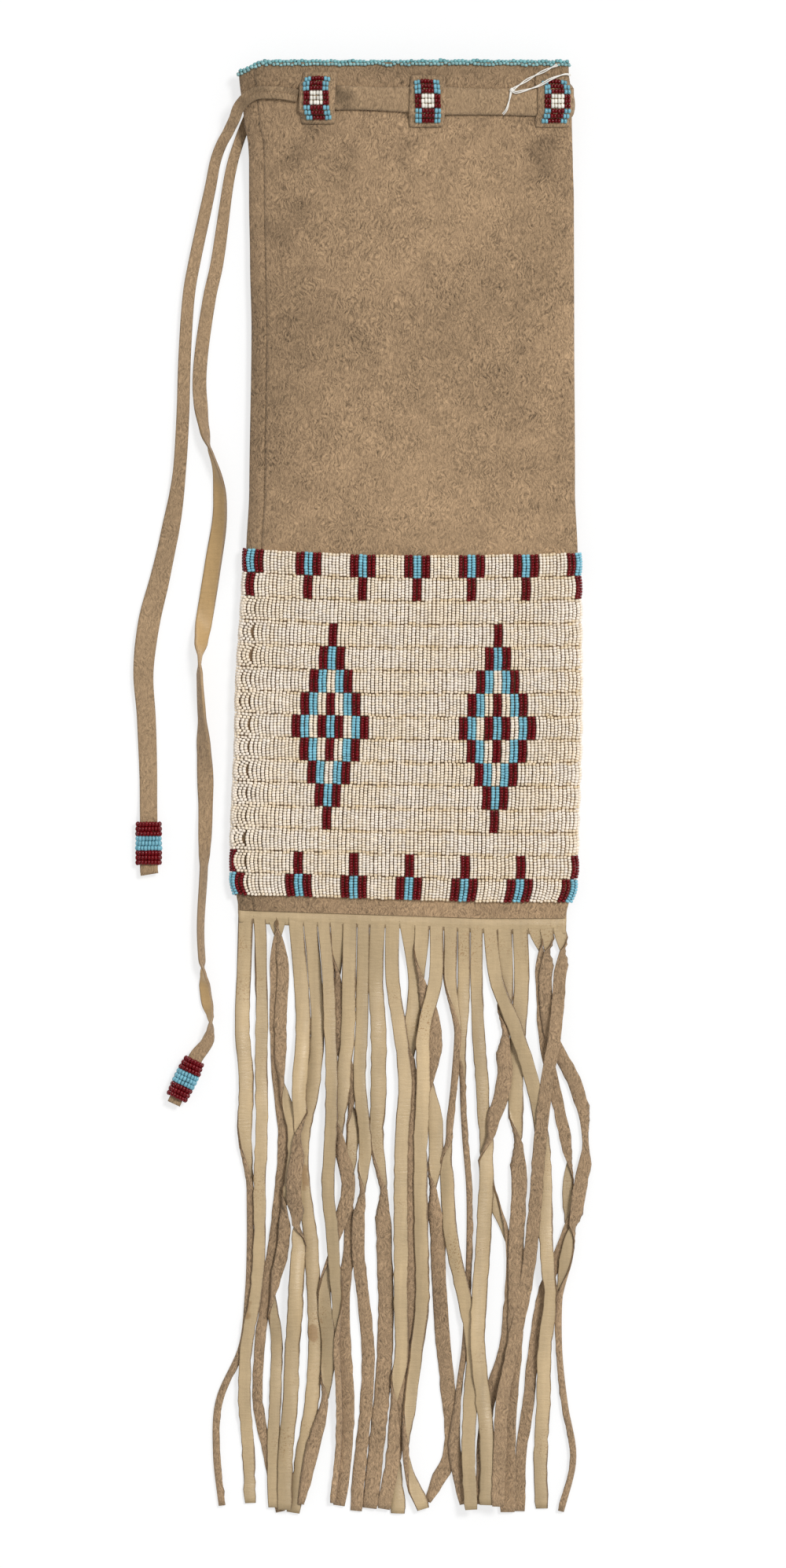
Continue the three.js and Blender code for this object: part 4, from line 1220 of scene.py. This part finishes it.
def lane_beads(lane, rng):
    """Places, directions, sizes and tints of the beads of one lane, and whether each is on the front."""
    height = size("lane")
    top = NECK_LENGTH + lane * height + LANE_SEAT
    start = math.asin(PATTERN_MIDDLE / (float(follow(WIDTHS, top)) / 2))
    run, psi = round_run(top + height / 2, LANE_OUT, start)
    pitch = run[-1] / COLUMNS
    counts = np.where(rng.random(COLUMNS) < FEWER_SHARE, *BEAD_COUNTS)
    column = np.repeat(np.arange(COLUMNS), counts)
    first = np.cumsum(counts) - counts
    phase = rng.uniform(-COLUMN_PHASE, COLUMN_PHASE, COLUMNS)[column]
    t = (np.arange(counts.sum()) - first[column] + 0.5 + phase) / counts[column]
    at, stretch = lane_spread(lane, column - COLUMNS // 2)
    angle = np.interp(np.mod(at * pitch + lane_aside(lane, column, t, rng), run[-1]), run, psi)
    u = np.sin(angle)
    tilt = -LANE_TILT[0] * np.clip((TILT_MIDDLE - u) / (1 + TILT_MIDDLE), 0, 1) ** 2
    tilt = tilt - LANE_TILT[1] * np.clip((u - TILT_MIDDLE) / (1 - TILT_MIDDLE), 0, 1) ** 2
    down = top + t * (height - LANE_GAP) + tilt * (1 - (lane + t) / LANES)
    half = 0.5 * pitch
    out = half + ARCH * (1 - (2 * t - 1) ** 2)
    spots = skin(angle, down, out)
    along = skin(angle, down + 0.05, out - 0.05 * ARCH * 4 * (2 * t - 1) / height) - spots
    up = np.cross(skin(angle + 1e-3, down, out) - spots, along)
    sizes = rows(half * stretch, half, 0.5 * height / counts[column]) * rng.normal(1, 0.035, (t.size, 1))
    return spots, along, up, sizes, lane_tints(lane, column, t, rng), np.cos(angle) > FRONT_LIMIT


class PIPEBAG_OT_lanes(bpy.types.Operator):
    """Builds the fifteen lanes of beads that wrap round the bag"""
    bl_idname = "pipe_bag.lanes"
    bl_label = "Bead lanes"

    def execute(self, context):
        rng = np.random.default_rng(SEED + 4)
        near, far = bead_shape(7, 4), bead_shape(5, 3)
        for lane in range(LANES):
            *beads, front = lane_beads(lane, rng)
            node = f"bead_lane_{lane + 1:02d}"
            for name, shape, mask in (("front", near, front), ("back", far, ~front)):
                obj = scatter(f"lane_{lane + 1:02d}_{name}", shape, *(v[mask] for v in beads), bead_glass())
                dress(obj, "cream_beads", *([node] if name == "front" else []))
        return {"FINISHED"}


# The fringe strips, left to right: share of the width, layer in the heap, sideways drift at each level, and
# which face is up there (0 smooth grain, 2 on edge, 4 rough flesh)
STRIPS = [
    (19, 0, (-1, -2, 0, 0.5, 2.5, 2.6, 1.5, -2, -14, -15.5, -12.5), "000012222222"),
    (16, 1, (2, 1, 1, 1, 0, 0, -2, -7, -8, -6, -5), "010000000000"),
    (13.4, 0, (2, 2, 3.5, 6.5, 4.5, 1, -4, -6.5, -7, -1, 5), "144444434444"),
    (15.2, 1, (0.5, -1, 1.5, 6, 4, 0.5, -3, -3, -4, -5, -4.5), "144201420000"),
    (18.8, 2, (2.5, 4, 2, 0.5, -1, 0.5, 0, -2, -3, -5.5, -6), "000024100000"),
    (17.8, 0, (2.5, 4, 1.5, -2.5, -2, 0.5, 2, 2.5, 0.5, -4.5, -9), "000011000000"),
    (16.1, 3, (2.5, 3.5, 4.5, 4, 2.5, 5, 6, 6.5, 8, 7.5, 4.5), "000000012222"),
    (16.4, 0, (2.5, 0.5, 8.5, 10, 8, 7.5, 4, 4.5, 6.5, 5, 1.5), "024312444444"),
    (18.3, 2, (-0.5, -1, -3.5, -4, -1, -6, -12.5, -11.5, -12, -19, -25), "000024210232"),
    (16, 1, (-0.5, -1, -2, 1, 0.5, -3, 0, 2.5, 1.5, -1.5, -4), "000002444444"),
    (19.8, 0, (-1, 0.5, 0.5, 0.5, 4, 3.5, 4.5, 4, 2, -1, -4), "000012444444"),
    (18.2, 1, (0, 4, 7, 5, 4.5, 4.5, 4.5, 5, 2.5, 1.5, -3.5), "000000000233"),
    (19, 0, (4.5, 3, 3.5, 2.5, 2.5, 3, 3.5, 1, -3, -4, -5), "001333333420"),
    (19, 0, (1.5, 6.5, 6.5, 7.5, 8, 8.5, 9.5, 11.5, 14.5, 15.5, 5), "024202444442"),
    (18, 1, (-0.5, -7, -7, -8.5, -8.5, -8, -7.5, -9.5, -13, -15, -7), "000000001120"),
    (17.6, 1, (1, 4, 2, -0.5, -1.5, 1, 7.5, 12, 10.5, 9.5, 11), "012220000000"),
    (16.1, 0, (0, -0.3, 0, 1.2, 3.4, 3.5, 2.5, 1, -2.5, -3.5, 2), "001222222233"),
    (16.3, 0, (0, 1, 3, 3.5, 5.5, 15.5, 17, 15.5, 7, 2, 1.5), "000011234433"),
    (18, 3, (3.5, 14.5, 23.2, 28, 29.5, 30, 31, 29, 28.5, 27, 27.5), "000000010000"),
    (19, 2, (0.8, 1, -0.5, -7, -10, -11.5, -13.5, -14.5, -11.5, -9, -10), "002420000000"),
    (20, 1, (1, -1, -2.5, 0.5, -0.5, -2, -2, -3, -5.5, -6.5, -6.5), "000024444444"),
    (15, 0, (4, 5.5, 11, 16, 17, 14, 4.5, 0, -3, -7, -7.5), "044431344444"),
    (17, 1, (-0.5, 2.5, 16, 20, 17.5, 10.5, 6, 6, 9, 13.5, 7), "044424122222"),
    (16.6, 4, (0, -2.5, -7, -10, -12.5, -15, -19, -25, -30.5, -32, -33), "044444444444"),
]
FOOT_MIDDLE = float(follow(MIDDLES, FOOT))
FOOT_DEPTH = float(follow(DEPTHS, FOOT))
FRINGE_WIDTH = 175.0
FRINGE_HEAD = 5.0
FRINGE_TUCK = 6.0
STRIP_LENGTH = 312.0
STRIP_UNEVEN = (-5, 1.5)
STRIP_END = 0.88
STRIP_FREE = (-0.3, 5)
STRIP_ASIDE = 0.7
STRIP_CUP = (0.3, 0.4)
STRIP_WAVES = (5, 11)
STRIP_ROLL = (0.1, 0.17)
STRIP_RAGGED = 0.16
SLIT = 0.2
LAY_GAP = 0.3
FLOOR_CLEAR = 0.05
HEAD_BELOW = 1.0
HEAD_SEEN = (6.4, 8.0)
HEAD_WAVE = (0.5, 9)
HEAD_INSET = 0.3
HEAD_SINK = 0.22
HEAD_ACROSS = 140
HEAD_ALONG = 12
HEAD_STEPS = 8
LIFT_SLOPE = 0.12
STRIP_STEPS = 88
STRIP_ACROSS = 10
FOLD_RADIUS = 0.9
RISE_FADE = 1.25
SAG_FADE = (0.035, 0.09)


def strip_levels():
    """Middle, height, angle and width of each strip at its levels, laid on each other in their layers."""
    shares = np.array([s[0] for s in STRIPS])
    cuts = FRINGE_WIDTH * shares / shares.sum()
    roots = FOOT_MIDDLE - FRINGE_WIDTH / 2 + np.cumsum(cuts) - cuts / 2
    x = roots[:, None] + np.array([(0, *s[2]) for s in STRIPS])
    angle = np.array([[int(face) for face in s[3]] for s in STRIPS]) * np.pi / 4
    width = np.broadcast_to((cuts - SLIT)[:, None], x.shape)
    up, flat = np.abs(np.sin(angle)), np.abs(np.cos(angle))
    tall = size("strip") / 2 + up * FOLD_RADIUS
    wide = (flat + up / 2) * width / 2
    levels = x.shape[1]
    stride = STRIP_LENGTH / (levels - 1)
    lift = np.zeros_like(x)
    laid = []
    for i in sorted(range(len(STRIPS)), key=lambda j: STRIPS[j][1]):
        needed = np.zeros(levels)
        for j in laid:
            apart = x[i] - x[j]
            clear = np.sign(apart) * np.maximum(0, np.abs(apart) - wide[i] - wide[j])
            for level in range(1, levels):
                near = clear[max(1, level - 1):level + 2]
                if near.min() <= 0 <= near.max():
                    needed[level] = max(needed[level], lift[j, level] + 2 * tall[j, level] + LAY_GAP)
        for level in range(levels):
            slope = needed - LIFT_SLOPE * stride * np.abs(np.arange(levels) - level)
            lift[i, level] = max(0, slope.max())
        laid.append(i)
    return x, lift + tall, angle, width


class PIPEBAG_OT_fringe(bpy.types.Operator):
    """Builds the fringe: an uncut head and its strips, smooth on one face and rough on the other"""
    bl_idname = "pipe_bag.fringe"
    bl_label = "Fringe"

    def execute(self, context):
        rng = np.random.default_rng(SEED + 5)
        bm = new_sheet()
        tops = [self.strip(bm, *levels, rng) for levels in zip(*strip_levels())]
        self.head(bm, tops)
        fringe = finish_mesh("fringe_hide", bm, grain_leather())
        thicken(fringe, size("strip"), 0.0, flesh_suede(), cut_suede())
        dress(fringe, "buckskin", "fringe")
        return {"FINISHED"}

    def head(self, bm, tops):
        """The uncut head, which lies on the strips' tops and sinks into them where their slits begin."""
        def shape(s, t):
            u = 2 * s - 1
            seen = HEAD_SEEN[0] + (HEAD_SEEN[1] - HEAD_SEEN[0]) * s + HEAD_WAVE[0] * np.sin(HEAD_WAVE[1] * s)
            below = -FRINGE_TUCK + (1 - t) * (FRINGE_TUCK + seen)
            x = FOOT_MIDDLE + u * (FRINGE_WIDTH / 2 - HEAD_INSET)
            down = FOOT + below - foot_rise(u)
            high = np.array([np.interp(down, top[:, 1], top[:, 2]) for top in tops])
            roots = np.array([top[0, 0] for top in tops])
            i = np.clip(np.searchsorted(roots, x), 1, len(roots) - 1)
            share = np.clip((x - roots[i - 1]) / (roots[i] - roots[i - 1]), 0, 1)
            point = np.arange(x.size)
            high = high[i - 1, point] * (1 - share) + high[i, point] * share
            return rows(x, down, high + HEAD_SINK * (1 - 2 * np.clip(below / seen, 0, 1) ** 2))

        add_grid(bm, HEAD_ACROSS, HEAD_ALONG, shape, uncut=True)

    def strip(self, bm, x, high, angle, width, rng):
        """One strip. Where it turns over it is folded along a line that runs slantwise from edge to edge."""
        slit = float(follow(UNDERSIDES, FOOT)) + FOOT_DEPTH / 2
        lip = slit + FOOT_DEPTH / 2 - HEAD_BELOW
        run = np.linspace(0, STRIP_LENGTH + rng.uniform(*STRIP_UNEVEN), len(x))
        down = FOOT + np.concatenate([[-FRINGE_TUCK, 0.7 * FRINGE_HEAD], FRINGE_HEAD + run])
        high = np.concatenate([[slit, lip, lip], high[1:]])
        x = np.pad(x, (2, 0), mode="edge")
        angle = np.pad(angle, (2, 0))
        width = np.pad(width, (2, 0), constant_values=width[0] + SLIT)
        path = smooth_path(rows(x, down, high, angle, width), STRIP_STEPS + 1)
        path[-1, 4] *= STRIP_END
        half = path[:, 4] / 2
        turn = np.clip(path[:, 3], 0, np.pi)
        along = travel(path)
        along[0] = (0, 1, 0)
        level = unit(rows(along[:, 1], -along[:, 0], 0))
        up = np.cross(level, along)
        bend = np.pi * FOLD_RADIUS / 2
        fold = (half + bend) * np.cos(turn)
        seen = (half + np.minimum(np.abs(fold), half)) / 2
        aside = rng.uniform(-STRIP_ASIDE, STRIP_ASIDE) * (half - seen)
        free = ease(np.linspace(*STRIP_FREE, len(path)))
        flat = free * np.cos(turn) ** 2
        cup = flat * abs(rng.normal(*STRIP_CUP))
        waves = np.linspace(0, rng.uniform(*STRIP_WAVES), len(path)) + rng.uniform(0, 6.3)
        roll = flat * (rng.normal(0, STRIP_ROLL[0]) + STRIP_ROLL[1] * np.sin(waves))
        ragged = rng.normal(0, STRIP_RAGGED, (len(path), 2)) * free[:, None]
        hand = rng.choice((-1, 1))
        sag = (1 - MIDDLE_SHARE) * FOOT_DEPTH

        def shape(s, t):
            i = np.rint((1 - t) * STRIP_STEPS).astype(int)
            a = 2 * s - 1
            past = hand * a * half[i] - fold[i]
            arc = np.clip(past, -bend, bend) / FOLD_RADIUS
            across = FOLD_RADIUS * np.cos(arc) - np.maximum(np.abs(past) - bend, 0) + seen[i]
            rise = FOLD_RADIUS * (np.sin(arc) + np.cos(turn[i])) + cup[i] * (1 - a ** 2)
            rise = rise + half[i] * (np.abs(roll[i]) + a * roll[i])
            reach = hand * across + aside[i] + np.where(a < 0, ragged[i, 0], ragged[i, 1]) * np.abs(a)
            spot = path[i, :3] + level[i] * reach[:, None] + up[i] * rise[:, None]
            spot[:, 2] = np.maximum(spot[:, 2], size("strip") / 2 + FLOOR_CLEAR)
            u = (spot[:, 0] - FOOT_MIDDLE) / (FRINGE_WIDTH / 2)
            spot[:, 1] -= foot_rise(u) * (1 - ease((1 - t) * RISE_FADE))
            droop = sag * (np.sqrt(1 - np.minimum(np.abs(u), 1) ** 3) - 1)
            spot[:, 2] += droop * (1 - ease((1 - t - SAG_FADE[0]) / SAG_FADE[1]))
            return spot

        add_grid(bm, STRIP_ACROSS, STRIP_STEPS, shape)
        return shape(np.full(HEAD_STEPS, 0.5), 1 - np.arange(HEAD_STEPS) / STRIP_STEPS)


# The add-on

STEPS = ("stage", "drawstring", "thread", "hide", "stitches", "band", "loops", "edging", "lanes", "fringe")


class PIPEBAG_PT_panel(bpy.types.Panel):
    """Lists the pieces of the bag and their sizes and colours"""
    bl_idname = "PIPEBAG_PT_panel"
    bl_label = "Pipe Bag"
    bl_space_type = "VIEW_3D"
    bl_region_type = "UI"
    bl_category = "Pipe Bag"

    def draw(self, context):
        for step in STEPS:
            self.layout.operator(f"pipe_bag.{step}")
        for group in (context.scene.pipe_bag_sizes, context.scene.pipe_bag_colours):
            for key in group.__annotations__:
                self.layout.prop(group, key)


CLASSES = (BagColours, BagSizes, PIPEBAG_OT_stage, PIPEBAG_OT_drawstring, PIPEBAG_OT_thread, PIPEBAG_OT_hide,
           PIPEBAG_OT_stitches, PIPEBAG_OT_band, PIPEBAG_OT_loops, PIPEBAG_OT_edging, PIPEBAG_OT_lanes,
           PIPEBAG_OT_fringe, PIPEBAG_PT_panel)


def register():
    for known in CLASSES:
        bpy.utils.register_class(known)
    bpy.types.Scene.pipe_bag_colours = bpy.props.PointerProperty(type=BagColours)
    bpy.types.Scene.pipe_bag_sizes = bpy.props.PointerProperty(type=BagSizes)


def unregister():
    del bpy.types.Scene.pipe_bag_sizes
    del bpy.types.Scene.pipe_bag_colours
    for known in reversed(CLASSES):
        bpy.utils.unregister_class(known)


def main():
    register()
    for step in STEPS:
        getattr(bpy.ops.pipe_bag, step)()


if __name__ == "__main__":
    main()
